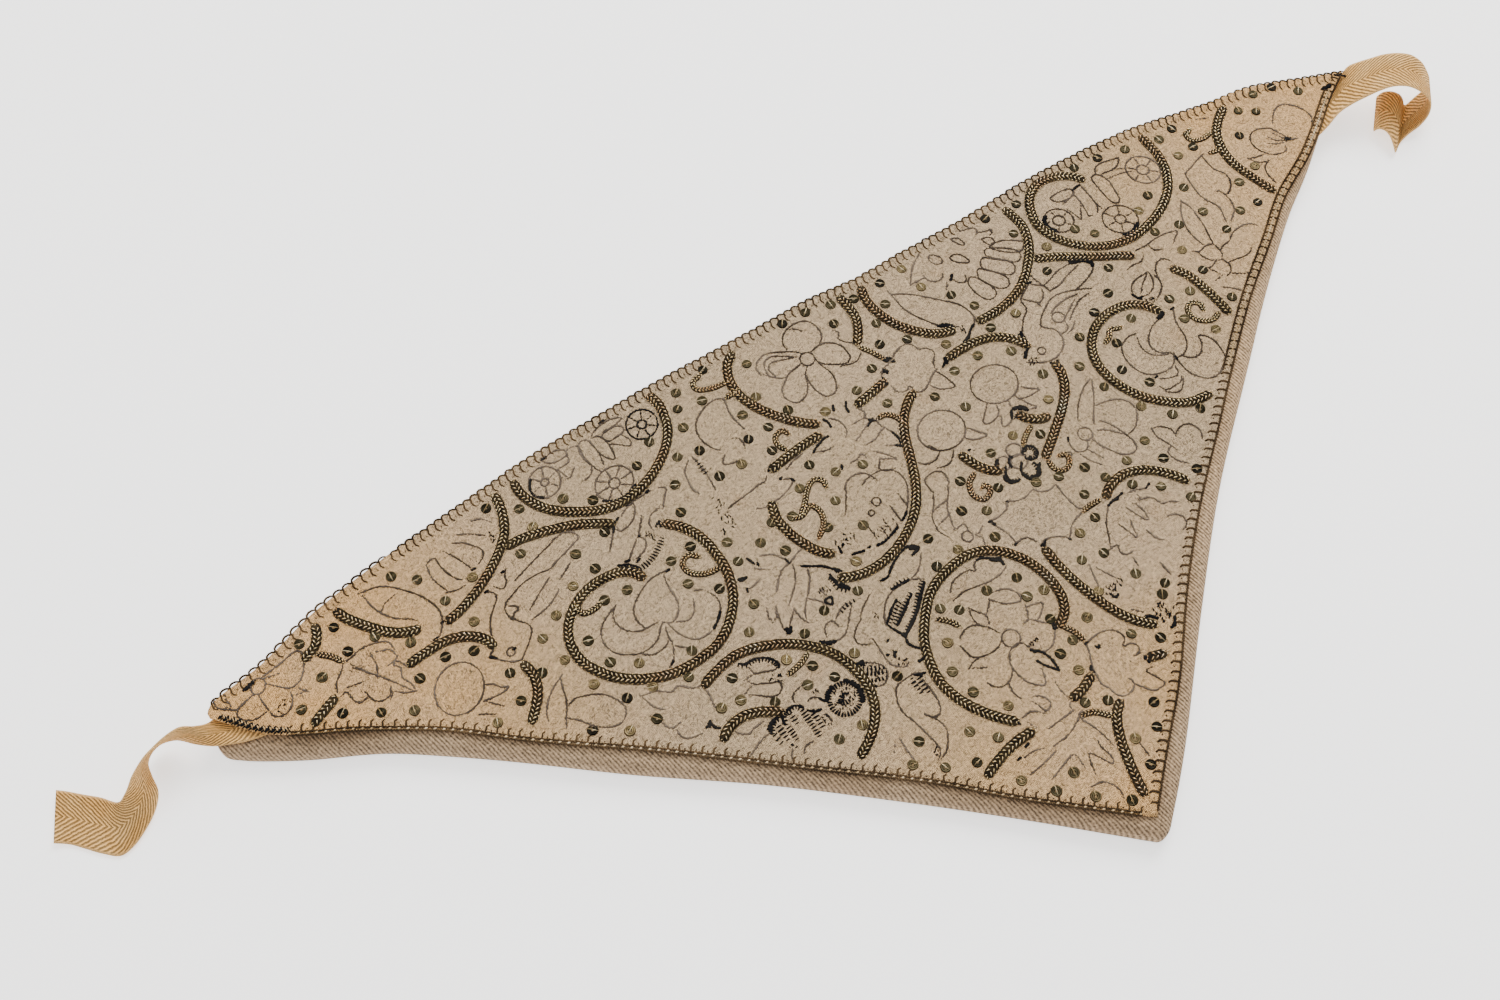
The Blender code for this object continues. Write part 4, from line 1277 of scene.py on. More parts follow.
# %% The chart of the middle row
# Chart lines for each motif.
MIDDLE_ROW = {
    "sepals of the left fruit": """
        -1432,-461 25,-15 14,-23 22,-10 -14,-6 -27,2 -20,5 -21,7; -1450,-506 15,-20 19,-23; -1485,-526
        19,-14 18,-14""",
    "leaves at the left edge": """
        -1225,-583 -46,-18 -32,-25 -18,-23 -7,-21; -1235,-592 -9,-30 -9,-32 -11,-20; -1264,-674 32,9 29,-11
        28,-14 27,-23 20,-32 9,-31 -11,-23 -23,-11 -27,6 -27,19 -18,18 -28,41 -27,29; -1264,-674 -16,-23
        -14,-23; -1064,-778 9,-32 8,-24 20,-22; -1055,-783 37,-13 23,-19 18,-13 13,7 17,-8 20,-23 21,-9;
        -1052,-888 5,-18 13,-10 23,0; -1029,-929 0,-23 18,-18 36,-11; -893,-888 -2,-27 -5,-23""",
    "pansy, left": """
        -980,-505 -38,-12 -32,-18 -16,-25 -4,-27 11,-37 27,-27 32,-20 32,-6 27,4 23,13 13,16 14,9; -980,-505
        -22,-19 -5,-27 7,-27 18,-23 27,-16 28,-4 22,-3; -786,-508 -32,7 -37,0 -31,-11 -32,-16 -25,-23 -8,-27
        6,-32; -809,-519 -5,-23 -1,-32 -2,-31 -10,-23 -18,-18 -23,-5 -18,14; -877,-651 4,-27 14,-32 23,-27
        27,-9 36,2; -727,-710 13,23 0,27 -11,23; -850,-660 23,-14 18,0 18,14 11,16 7,14; -891,-655 -7,-23
        -2,-27 -18,-37 -14,-13 -13,-5; -895,-719 18,-18 13,-14; -991,-678 18,-18 28,-7 27,4 18,12;
        -755,-610 19,-10""",
    "leaves left of the fruits": """
        -368,-428 -14,-12 -18,3 -27,-4 -32,-3 -36,-2 -28,-3; -191,-446 27,-12 25,-2; -300,-442 32,12 36,4;
        -327,-467 22,-13 -9,-12 -31,-13 -32,-7 -23,0 -36,2 -14,9; -605,-783 -13,-32; -586,-801 -9,-23;
        -564,-660 32,-25; -527,-635 27,-14 9,-6 11,-19 10,-16; -550,-755 27,27 23,18 32,7 18,4 23,9 27,3;
        -436,-755 -5,-23 -13,-12""",
    "long petals near the middle": """
        -463,-717 -9,-25 -20,-29 -25,-21 -26,-21; -432,-754 -10,-24 -22,-28 -23,-22 -22,-23 -14,-25;
        -580,-798 -9,-24 -5,-23 -5,-23; -539,-834 -19,-17 -19,-17; -538,-838 2,-25 3,-17 6,-12; -614,-820
        -2,-14 12,7; -487,-828 16,-15 14,-17 7,-17; -436,-825 1,-19 3,-18; -622,-700 16,-3 22,4 12,3;
        -91,-372 17,-19 6,-25 -4,-23 -13,-13; 13,-397 0,-17 -9,-19; -41,-575 23,-11 19,-16; -41,-575
        -19,-28 19,-17 22,-6""",
    "cloud behind the stem": """
        -41,-428 41,-2 14,-14 13,-14 0,-20 9,-18 12,-23; 0,-387 11,-23 -9,-18; -64,-480 28,11 31,16 19,7;
        -45,-510 36,2 23,12 20,6; 5,-546 22,-14 18,-12; -123,-535 28,0 18,7 4,-18; -41,-542 18,-18 14,-18
        11,-18; -59,-596 14,13""",
    "striped strawberry": """
        -236,-669 11,11 16,25 14,18 9,19 13,13 23,7 23,-2 18,-9 14,-21 6,-20; -132,-615 18,7 28,3 27,-3
        23,-13 16,-19 4,-25 -4,-27 -16,-27 -19,-27 -18,-19; -200,-746 0,-41; -168,-770 0,-28; -148,-750
        0,-37; -122,-765 0,-19; -104,-724 0,-56; -60,-705 0,-41""",
    "sepals of the middle fruit": """
        255,-633 18,-27 16,-20 -30,0 -23,11 -11,14; 114,-619 11,-18; 55,-651 13,-14 23,-6 23,6 13,10;
        93,-696 25,-7 23,4 18,16 9,9; 223,-705 18,-3""",
    "sepals of the right fruit": """
        352,-592 -34,-32 -14,-18 10,-9 22,1 23,8 11,14 4,13; 364,-651 -16,-33 20,-1 18,9; 414,-615 -3,-27;
        482,-596 20,-19 21,-15 -28,-5 -27,2 -20,7 -3,14; 455,-637 11,-23 14,-20 -25,6""",
    "larva": """
        32,-755 -2,22 4,23 21,9 27,-2 16,-16 0,-18 -7,-21; 27,-765 -13,-22 -18,-21 -12,-12 -9,-27 -3,-28
        12,-27; 82,-765 -14,-22 -16,-18 -16,-23 -6,-19 -9,-28 -5,-18; -2,-808 29,5 25,2; -11,-854 46,11;
        16,-893 14,-2 18,2 5,-13 -4,-12; 50,-938 21,-5 23,14; 60,-947 11,-14 -7,-23""",
    "pansy, right": """
        899,-610 -18,2 -23,-7 -18,-11 -14,-20 -8,-32 4,-37 13,-29 23,-18 37,-8 31,5 23,19 13,20; 897,-628
        -9,-27 2,-28 14,-20 22,-12 28,-9; 999,-599 -27,-9 -27,-18 -23,-25 -8,-27 12,-27 23,-12; 1063,-587
        -18,-32 -10,-32 -4,-36 -14,-32 -22,-21 -19,-6 -18,2 -4,20; 981,-751 14,-14 18,-6 18,4 18,16 14,23
        4,20 18,-11 14,-27 0,-32 -9,-37 -27,-25 -33,-18 -32,2 -19,16 -16,21 -8,32 1,36; 870,-787 25,-10 31,0
        9,26; 849,-810 9,-18 27,0 32,4 12,14; 854,-833 19,-15 25,-2 31,30""",
    "leaves below the bird, right": """
        679,-680 -30,-12 -36,-27 -32,-32 -23,-32; 681,-687 -27,-46 -19,-27 -27,-36 -13,-19; 640,-767 23,-2
        32,-7 27,-16 13,-23 1,-19 -9,-22 -18,-23 -27,-18 -28,-4; 555,-856 13,-41 18,-32 19,-23 27,-10 20,6
        7,22 -4,32 -7,23 -12,32 -18,27; 591,-843 23,-13 22,-23 14,-18""",
    "knot flower": """
        1253,-430 18,-10 18,7 18,4 18,-6 5,-16 -2,-27 -12,-18; 1265,-442 2,-18 13,-23 18,-11 16,-5;
        1250,-503 16,-5 14,7 14,8; 1257,-512 16,-28; 1314,-499 7,-18 -2,-20 -14,-16 -12,-4; 1321,-517 27,0
        32,-2 27,4 14,12; 1330,-467 18,12 32,9 23,18 27,11 32,3 18,-5 14,-14; 1305,-553 16,-14 20,-9 21,-7;
        1246,-558 29,7; 1253,-592 22,-16 14,-16""",
}
print("Motifs:", len(MIDDLE_ROW))

# %% The chart of the lower rows
# Chart lines for each motif.
LOWER_ROWS = {
    "nose leaf": """
        -750,-906 3,-23 22,-9 28,-14 20,-4; -784,-927 37,-2; -775,-938 10,-18 18,-9 22,-14 32,-14; -802,-961
        18,6 19,-1; -795,-972 20,-16 19,-18 22,-14 23,2 11,16 0,14""",
    "leaves round the barrel": """
        -888,-1038 9,-14 18,-13 23,4 32,0; -893,-1120 28,9 27,9 32,2; -660,-1088 17,0 14,-14; -697,-1065
        4,13 18,9 23,3; -797,-1206 4,13 12,12; -756,-1206 13,13 23,-2; -643,-1152 9,-13 -9,-19""",
    "third bird": """
        -505,-961 7,21 18,13 18,-4 5,-21; -489,-989 27,1 23,13 27,28 23,22; -448,-929 23,14 22,6 17,-6;
        -116,-904 -14,-16 -18,-18 -23,-12 -23,-4; -337,-1031 12,25 18,22 22,19 32,11 37,2 27,-4 32,-19;
        -394,-1047 0,-91 14,-18 18,-14 14,5; -389,-975 -32,-18 -18,-22 4,-23 23,-14; -325,-927 -32,-18
        -28,-20; -453,-1093 23,-18 16,-27 -7,-23 -23,-16 -22,5""",
    "round leaf and its pod": """
        -325,-1218 -28,16 -36,2 -32,-6 -18,-28 -9,-27 2,-32 6,-14 9,-41 6,-32 4,-32 -4,-23 -18,-15;
        -342,-1233 2,-47 -2,-27 -10,-28 -18,-9 -14,5 -13,18; -397,-1321 18,-27 8,-27 -1,-19 -16,-27 -23,-23
        -23,-8; -502,-1339 -2,-41 1,-30; -538,-1357 13,13""",
    "rose": """
        -173,-1186 25,11 27,-2 23,-16 18,-22 11,-23; -189,-1211 4,-27 5,-18 23,-14 27,-6 27,1 23,10;
        -98,-1127 -9,-25 0,-23 7,-17; -98,-1127 18,-29 11,-14 -6,-27; -66,-1170 18,14 18,18; -30,-1138
        14,-18 16,-17 21,-11 27,-6 5,20 -14,27 -23,14 -22,4; -207,-1279 22,9 28,0; -207,-1279 23,-15 19,-11;
        -188,-1348 9,-18 18,-12 23,0 23,12 15,17; -138,-1382 -5,-30 7,-23; -78,-1305 -20,-30 -1,-35 9,-35
        20,-25 20,-13 12,18 8,25; -70,-1300 30,5 15,-15 6,-20; -112,-1052 18,18 28,9 31,0 19,-9 4,-9 9,23
        13,6; -121,-1081 41,6 36,-6 34,-7 26,-2 32,2 23,9; 16,-1254 19,0 13,-14 18,-20; 48,-1215 48,-16
        -30,-30 -18,-7; 48,-1215 -13,-28 -10,-9; 0,-1355 25,-5 20,7 15,13 13,15""",
    "mound flower": """
        121,-929 27,-2 27,4 19,9 11,16 20,-11 28,-7 27,5 18,6 9,-16 18,-9 19,-4 22,7 0,-34 3,-37 6,-27
        10,-14; 121,-929 7,-21 9,-20 9,-32 3,-27 22,0 18,-7 11,-20; 207,-1079 14,11 23,-2 22,-9 19,-14
        9,-13; 292,-1103 11,10 22,23 32,14 23,6""",
    "pea and its pod": """
        489,-829 -4,-36 15,-15 25,1 14,23; 494,-888 9,-27 22,-30; 525,-888 19,-41; 557,-865 9,-37""",
    "tulip": """
        734,-920 -4,-32 11,-27 14,-41; 734,-922 21,-3 18,-13 11,-18 -3,-23; 789,-970 20,11 27,0 16,-16 5,-27
        -12,-23; 745,-1002 -18,-9 -2,-18 11,-27 19,-19""",
    "thistle": """
        380,-1188 18,32 18,36 23,27 18,18; 448,-1143 9,-32 12,-31 6,27 10,32; 503,-1111 13,-36 14,-28 9,28
        -7,36; 507,-1202 9,-36 12,-12; 371,-1195 32,0 -9,-20 9,-19 22,-2; 289,-1206 -9,-32 -9,-37; 303,-1225
        13,-27 14,-27; 536,-1068 23,-2 32,-11 18,6; 557,-1075 -2,-27; 550,-1106 27,-5 18,-18 3,-18 29,-9
        18,-12; 591,-1193 18,-4 18,-18 -4,-28 -18,-9; 310,-1390 20,-20; 475,-1310 2,-45; 416,-1256 -4,-24""",
    "cloud at the front": """
        128,-1403 22,3 35,2 30,-10 18,-22 2,-20 -20,-20 25,-3 13,-17 -10,-20 -18,0; 243,-1510 5,-18;
        128,-1405 -8,-25 -12,-25 -8,-20 -5,-25 -5,-30 10,-20 8,-30 17,-15 30,2 18,18 -5,15; 173,-1580
        12,-20 20,-25 25,-5 18,5 -8,25 -15,35 20,0""",
    "leaves at the front": """
        -165,-1487 27,2 23,-13 9,-12; -161,-1507 9,-23; -100,-1453 20,-12 10,-30 -25,-15 -10,30 -7,15;
        -20,-1453 -3,-27 5,-25; -30,-1550 2,20 13,5; -120,-1555 45,2 45,3; -138,-1605 58,5 55,25; -25,-1585
        15,-35 10,-40 5,-35; -90,-1735 10,35 12,22 18,-27 22,-35 8,20 -8,40 3,15; -229,-1585 32,0 27,-9;
        -247,-1635 50,5 50,9; -202,-1680 37,11 59,12 2,-46; -120,-1760 30,-5 20,-20 10,-30 -5,-20;
        73,-1735 0,-40""",
}
print("Motifs:", len(LOWER_ROWS))

# %% [markdown]
# Rings and wheels
#
# Fruits, eyes, berries and knobs are plain rings, and each of the two sprays
# carries three little wheels: a rim, a hub and a few spokes. Those follow a
# rule, so they are written as functions of a place and a size, not as points.

# %% Rings and wheels
# Columns: u, v, radius across, radius down.
RINGS = [
    (-198.9, -2.5, 2.3, 2.3), (-149.8, -42.2, 7.7, 7.7), (17.8, -59.4, 7.7, 7.0), (41.4, -54.3, 7.7, 6.9),
    (-3.3, -15.6, 2.4, 2.4), (61.2, -51.8, 1.3, 1.3), (73.1, -44.0, 2.0, 2.0), (-131.5, -42.8, 1.3, 1.3),
    (-4.9, -127.2, 2.8, 2.8), (54.8, -83.4, 2.3, 2.3), (3.5, -93.4, 1.7, 1.8), (-20.9, -72.8, 1.0, 1.2),
    (-16.6, -71.0, 0.9, 0.9), (-13.2, -68.7, 1.3, 1.4), (-1.5, -157.5, 1.0, 0.8), (32.7, -76.8, 2.4, 2.3),
    (31.8, -81.0, 2.6, 2.5), (27.5, -79.0, 2.3, 2.3), (46.5, -86.8, 0.6, 0.6),
]
# Columns: u, v, radius across, radius down, hub, spokes, turn in degrees.
WHEELS = [
    (-95.4, -3.9, 5.2, 5.2, 1.3, 6, 10), (-77.5, -17.2, 6.4, 5.5, 1.8, 8, 0),
    (95.5, -12.7, 4.8, 4.8, 2.0, 5, 20), (113.0, -21.5, 5.7, 5.7, 1.8, 6, 5),
    (131.5, -7.8, 5.4, 5.8, 2.0, 6, 25),
]
BLACK_WHEELS = [(-59.8, -5.5, 5.1, 5.1, 1.5, 7, 12)]
RING_STEP = 45  # degrees


def ring(u, v, across, down, first=0.0, last=360.0):
    """Return points round an oval, or round a part of it."""
    steps = max(4, round((last - first) / RING_STEP))
    angles = [math.radians(first + (last - first) * k / steps) for k in range(steps + 1)]
    return [(u + across * math.cos(angle), v + down * math.sin(angle)) for angle in angles]


def wheel(u, v, across, down, hub, spokes, turn):
    """Return the lines of a wheel: its rim, its hub and its spokes."""
    lines = [ring(u, v, across, down), ring(u, v, hub, hub)]
    for k in range(spokes):
        angle = math.radians(turn + 360 * k / spokes)
        x, y = math.cos(angle), math.sin(angle)
        lines.append([(u + hub * x, v + hub * y), (u + across * x, v + down * y)])
    return lines


print("Rings:", len(RINGS), "and wheels:", len(WHEELS + BLACK_WHEELS))

# %% [markdown]
# Black silk
#
# Here and there a second thread, black and heavier, shades the drawing. Most
# of it has worn to ragged strokes, some of it stands as a comb of short bars
# across a line, and a few petals and leaves carry a broad crescent. One wheel
# is worked in it as well. Stroke, crescent, comb and ladder differ in their
# link alone: a stroke's links are short and lie tightly side by side across
# the line, and a crescent's are longer.

# %% The chart of black strokes
BLACK_STROKES = drawn("""
    -2032,-6 19,0; -2000,-2 10,0; -1490,-250 15,0; -1446,-220 12,0; -1286,-140 12,-2; -1289,-225 12,-1;
    -1215,-205 10,0; -985,-3 -19,-27 2,-30 22,-23; -835,-200 30,-22 40,-6 45,13; -926,30 20,1; -710,27 20,0;
    -784,-258 12,2; -711,-258 12,2; -864,-308 19,22 20,11; -1378,-400 12,-10 7,-10; -1307,-427 10,0;
    -908,-404 26,-15 14,-14 11,-20; -900,-415 18,-15 12,-16; -884,-407 18,-5; -855,-430 15,4; -809,-365
    10,1; -737,-362 17,-15; -726,-359 -4,-21; -774,-744 26,16 21,18; -937,-757 12,6; -796,-509 13,2;
    -628,-659 28,-8; -626,-667 22,-3; -568,-618 10,-29; -356,-418 21,16; -340,-460 11,3; -311,-475 8,-15;
    -202,-443 16,10 22,7 19,7 15,-2; -158,-539 7,14; 7,-442 11,-9 10,-9; 2,-454 20,10; 45,-517 5,-25 -4,-32;
    26,-559 20,-17; -72,-765 -19,-13 -13,-6; -123,-792 -32,-11 -36,-7 -23,2; -242,-798 12,-2; -254,-801
    -23,7 -17,4; -313,-745 -4,-25; -310,-723 -6,-12; -306,-754 10,8; -471,-685 3,-21; -444,-732 26,-19
    18,-11 18,-16 14,-18 18,-20; -386,-804 1,-25 0,-23 14,-9 10,-15; 130,-340 -1,-30; 168,-291 14,2 9,-7;
    185,-308 11,-6; 265,-275 12,0; 384,-274 32,-23 15,-9; 490,-326 -24,-14 -22,-19 -24,-9; 337,-382 -9,-16
    -16,-11; 346,-385 -14,-21; 520,-152 17,18; 794,-160 17,10; 597,-424 -2,-26; 595,-482 -19,-10 -23,-24;
    568,-494 -14,-14; 881,-286 32,-9 22,-5 14,-16 -7,-16; 728,-286 10,0; 608,-568 12,-5 16,1; 1026,-579
    -30,-17; 1018,-576 -4,-18; 1052,-586 14,2; 982,-480 7,-17; 999,-502 10,-1; 387,-676 8,14 6,11 17,5;
    425,-647 13,-13 11,-15; 434,-648 16,-18; 855,-775 10,2; 957,-738 -1,-16; 2021,-44 39,2; 2100,-4 30,-20;
    2110,-16 16,8; 930,-93 -18,-7 -2,-27 3,-28 13,-7; 1108,-273 22,-1 24,13 19,10; 1063,-48 13,7 23,5;
    124,-354 -2,-20; 422,-366 28,6; 207,-697 8,1; 248,-800 1,15 9,12; 304,-787 11,4; 279,-811 9,3; 589,-1084
    21,10; 496,-817 -9,-14; -596,-886 12,6 8,7; -588,-872 2,-17; -956,-976 8,1; -944,-968 8,-6 3,-15 13,-13;
    -946,-980 14,16; -679,-1110 14,-15 22,-7; -630,-1100 6,-14 10,-8; -448,-866 12,-22 12,14 1,10; -446,-863
    20,-1; -532,-962 20,-15 24,-12; -528,-972 22,-12; -529,-960 7,-20; -270,-908 26,-2 23,17 32,18 27,10
    27,3 14,-8 11,-16; -112,-888 -13,-1 -17,-4; -137,-871 17,-11; -333,-1031 26,20 18,14 27,13; -307,-1093
    36,23 41,23 36,32 32,29; -332,-1034 7,-22 9,-19 6,-16; -308,-1092 -6,-23 11,-23 18,-18 -6,-19 -16,-4
    -14,0; -489,-1073 18,-11 14,0; -484,-1082 18,-8; -482,-1136 3,-18 10,-16; -364,-1077 8,4; -389,-1110
    8,-2; -371,-1132 1,12 12,4; -356,-1152 12,-1; -324,-1218 -12,4 -6,-8; -356,-1204 22,-12; 116,-929 12,-2;
    124,-936 6,-14; 138,-1034 14,2; 202,-900 6,-6; 203,-1079 20,5; 210,-1086 16,16; 289,-1102 6,-8;
    456,-1075 14,6 28,4 23,6; 480,-1064 19,-7; 10,-1014 15,1 19,-12 18,-13 16,-9; 46,-1032 18,-16; 76,-1044
    -3,-26; 62,-1043 12,-13; -24,-1333 19,-15 13,-22 5,-30 -2,-30; -19,-1342 19,-8; -27,-1370 12,-25 15,-20
    10,-15; 80,-1300 -4,-20; 86,-1302 -2,-18; 123,-1405 13,3; 146,-1424 4,-14 7,10; -194,-1490 9,-1 6,5;
    -188,-1482 4,-18; -212,-1562 16,4; -254,-1580 14,1; 284,-1326 12,-6 10,6; 286,-1318 8,-18; 325,-1427
    19,-7 12,-18; 336,-1428 14,-18; 362,-1470 6,4; 370,-1496 15,5 18,20; 384,-1496 14,16; 414,-1450 6,7;
    91,-1472 2,-18; 88,-1480 11,14; 249,-1526 1,-26; 244,-1532 10,-16; -15,-349 -12,-18 -2,-20; -58,-339
    -9,-19; -112,-363 8,-17 -2,-20; 13,-448 -20,-12; -620,-697 -5,-12; -549,-646 -2,-14; 582,-486 -20,-18
    -14,-9; 189,-312 9,7; 714,-283 18,-2; 987,-496 12,-15; 323,-816 -19,-22 1,-24 16,-14 23,6 26,25;
    273,-802 -16,-23 -2,-23 16,-14; 304,-780 -15,-16 -2,-19; 426,-367 31,17; 403,-653 -13,-18""")
print("Strokes:", len(BLACK_STROKES))

# %% The charts of combs, crescents and ladders
# A comb's teeth stand to the left of its line, as it runs.
COMBS = drawn("""
    -677,-956 7,9 -9,22 -23,23 -27,12 -27,2 -14,13; -756,-1077 -19,2 -18,-6 -9,-12 -4,-13; -684,-1097 -9,13
    -13,9 -19,0 -18,0 -11,-13 -5,-18; -361,-875 -12,9 -13,16 4,16 -10,22; -257,-950 41,-2 20,-1; -311,-1094
    22,10 38,22 47,43 43,35; -308,-1052 38,22 31,21 24,14""")
# Columns: u, v, radius across, radius down, first and last angle in degrees.
COMBS += [ring(*row) for row in (
    (36.4, -80.2, 2.5, 2.5, -160, 160), (33, -85.4, 3.0, 2.9, 170, 400), (27, -83.9, 2.6, 2.5, 150, 300))]
# Rows of teeth that have no back: two rings round an eye, then straight rows.
TEETH = [ring(-56.8, -114.7, 5.3, 5.3), ring(-56.8, -114.7, 1.9, 1.8, 40, 300)]
TEETH += drawn("""
    -320,-1036 40,24 20,10; -482,-1099 32,-23 30,-17; -480,-1119 30,-21 30,-14; -480,-1146 24,-14 26,-10;
    -422,-926 22,6 27,1; -364,-1260 0,50; -346,-1270 0,61""")
# Broad crescents of satin stitch.
CRESCENTS = drawn("""
    926,-94 -14,-14 -3,-19 4,-19 11,-11; 1098,-272 24,-10 26,10 20,16; 2030,-44 30,4; -530,-1186 12,20 3,24
    -7,24 -18,18; -616,-1122 16,18 24,8; -806,-1096 12,14 18,3; -484,-1086 25,-2; -136,-866 17,-10 6,-10;
    -2026,-7 32,2; 1789,-174 15,-9; -527,-967 13,-13 21,-7; -592,-869 -1,-18; -578,-875 -15,-12; -377,-846
    7,-16 7,-12; -364,-800 7,-12; 885,-281 21,-2 25,-14 12,-16 -1,-18; 996,-598 32,13; 592,-430 -1,-22
    -4,-28; 264,-263 19,-12; 170,-283 8,-18; 146,-320 9,-14; 393,-276 22,-13 14,-18; 412,-646 18,-11 17,-14;
    264,-768 -12,-17""")
# A ladder's bars cross its line.
LADDERS = drawn("""
    -692,-1102 0,-91; -776,-1100 0,-48; -754,-1120 2,-42; -726,-1090 0,-34; -669,-1118 0,-58; -799,-1114
    3,-30; -312,-1043 68,32; -855,-454 28,2 27,8 27,14 25,18; -522,-260 2,-50""")
print("Combs:", len(COMBS), "crescents:", len(CRESCENTS), "and ladders:", len(LADDERS))

# %% The stitches
back_stitch = make_link(
    "back_stitch",
    [(-0.58, 0.10, 0.02, 0.20, 0.10), (-0.10, -0.09, 0.13, 0.34, 0.17), (0.58, 0.10, 0.03, 0.20, 0.10)])
satin_stitch = make_link(
    "satin_stitch",
    [(0.03, -0.44, 0.02, 0.18, 0.12), (-0.02, 0.02, 0.20, 0.28, 0.19), (0.04, 0.44, 0.02, 0.17, 0.12)])
bold_stitch = make_link(
    "bold_stitch",
    [(0.03, -0.80, 0.02, 0.18, 0.12), (-0.02, 0.02, 0.24, 0.28, 0.22), (0.04, 0.80, 0.02, 0.17, 0.12)])
comb_tooth = make_link(
    "comb_tooth",
    [(0.0, -0.15, 0.06, 0.38, 0.18), (0.0, 0.60, 0.18, 0.30, 0.18), (0.06, 1.40, 0.02, 0.17, 0.10)])
ladder_bar = make_link(
    "ladder_bar",
    [(0.0, -1.0, 0.02, 0.20, 0.10), (0.03, 0.0, 0.18, 0.30, 0.17), (0.0, 1.0, 0.02, 0.20, 0.10)])
print("A back stitch has", len(back_stitch.data.polygons), "faces")

# %% Work the lines
CHART_STEP = 0.9
NEARLY_CLOSED = 0.01


def chart_lines(rows, above):
    """Return a chart's rows as smooth lines on the linen."""
    lines = []
    for row in rows:
        closed = (Vector(row[0]) - Vector(row[-1])).length < NEARLY_CLOSED
        lines.append(laid(row[:-1] if closed else row, CHART_STEP, above, closed))
    return lines


motifs = [chart for charts in (UPPER_ROW, MIDDLE_ROW, LOWER_ROWS) for chart in charts.values()]
outline_rows = [row for chart in motifs for row in drawn(chart)]
outline_rows += [ring(*row) for row in RINGS]
outline_rows += [line for row in WHEELS for line in wheel(*row)]
black_wheel_rows = [line for row in BLACK_WHEELS for line in wheel(*row)]

# Columns: name, rows, height above the linen, link, pitch, finish, how far the
# links turn and change in size by chance, seed.
SILK_WORK = [
    ("silk_outlines", outline_rows, 0.0, back_stitch, 1.0, BROWN_SILK, 0.34, 0.26, 21),
    ("black_strokes", BLACK_STROKES, 0.05, satin_stitch, 0.34, BLACK_SILK, 0.35, 0.28, 22),
    ("black_wheels", black_wheel_rows, 0.03, back_stitch, 1.0, BLACK_SILK, 0.34, 0.26, 27),
    ("black_combs", COMBS + TEETH, 0.03, comb_tooth, 1.05, BLACK_SILK, 0.12, 0.15, 23),
    ("black_crescents", CRESCENTS, 0.04, bold_stitch, 0.34, BLACK_SILK, 0.30, 0.22, 26),
    ("black_comb_backs", COMBS, 0.03, satin_stitch, 0.42, BLACK_SILK, 0.3, 0.25, 24),
    ("black_ladders", LADDERS, 0.03, ladder_bar, 1.0, BLACK_SILK, 0.12, 0.15, 25),
]
for name, rows, above, link, pitch, finish, turn, size, seed in SILK_WORK:
    piece = stitch(name, chart_lines(rows, above), link, pitch, finish, turn, size, seed)

# %% [markdown]
# Seed stitches
#
# Some leaves and flowers are filled with scattered specks: tiny stitches of
# black silk, or the pricks of stitches that have worn away. Each patch is an
# oval with a count, and its specks are strewn by a fixed seed.

# %% Patches of seed stitches
# Columns: u, v, reach across, reach down, count.
BLACK_PATCHES = [
    (-195.5, -12.5, 2.4, 2.0, 11), (-118, -9, 0.9, 2.0, 10), (-73, -36.5, 1.6, 1.6, 9),
    (-77.4, -38.4, 1.7, 2.0, 14), (-54.5, -45, 2.0, 6.5, 24), (-58, -50, 1.6, 1.4, 6),
    (-27.3, -74, 2.4, 2.1, 16), (44.8, -33, 0.9, 2.0, 10), (57, -53.6, 2.0, 1.5, 11),
    (102.3, -52.3, 1.8, 1.6, 13), (-36.6, -113, 2.2, 3.4, 10), (-35, -99.6, 1.3, 1.9, 7),
    (-45.8, -112.6, 2.2, 3.3, 22), (-70.5, -97.7, 2.0, 1.5, 13), (-56.6, -114.6, 3.6, 3.6, 40),
    (0.1, -131.9, 1.6, 1.0, 10), (29.2, -130.2, 2.2, 1.5, 18), (33, -129.8, 1.8, 1.4, 9),
    (38.2, -144, 2.5, 3.0, 34), (-64.6, -116.4, 1.2, 1.8, 10), (-62.5, -107.8, 1.0, 0.5, 4),
    (-43, -84, 2.4, 1.4, 11), (-43.3, -142.5, 0.9, 1.8, 8), (41.8, -139, 1.2, 1.5, 8),
    (-77.6, -117.6, 1.2, 1.0, 4), (-17.5, -77.8, 3.0, 1.4, 8), (40.5, -67, 1.0, 1.6, 9),
]
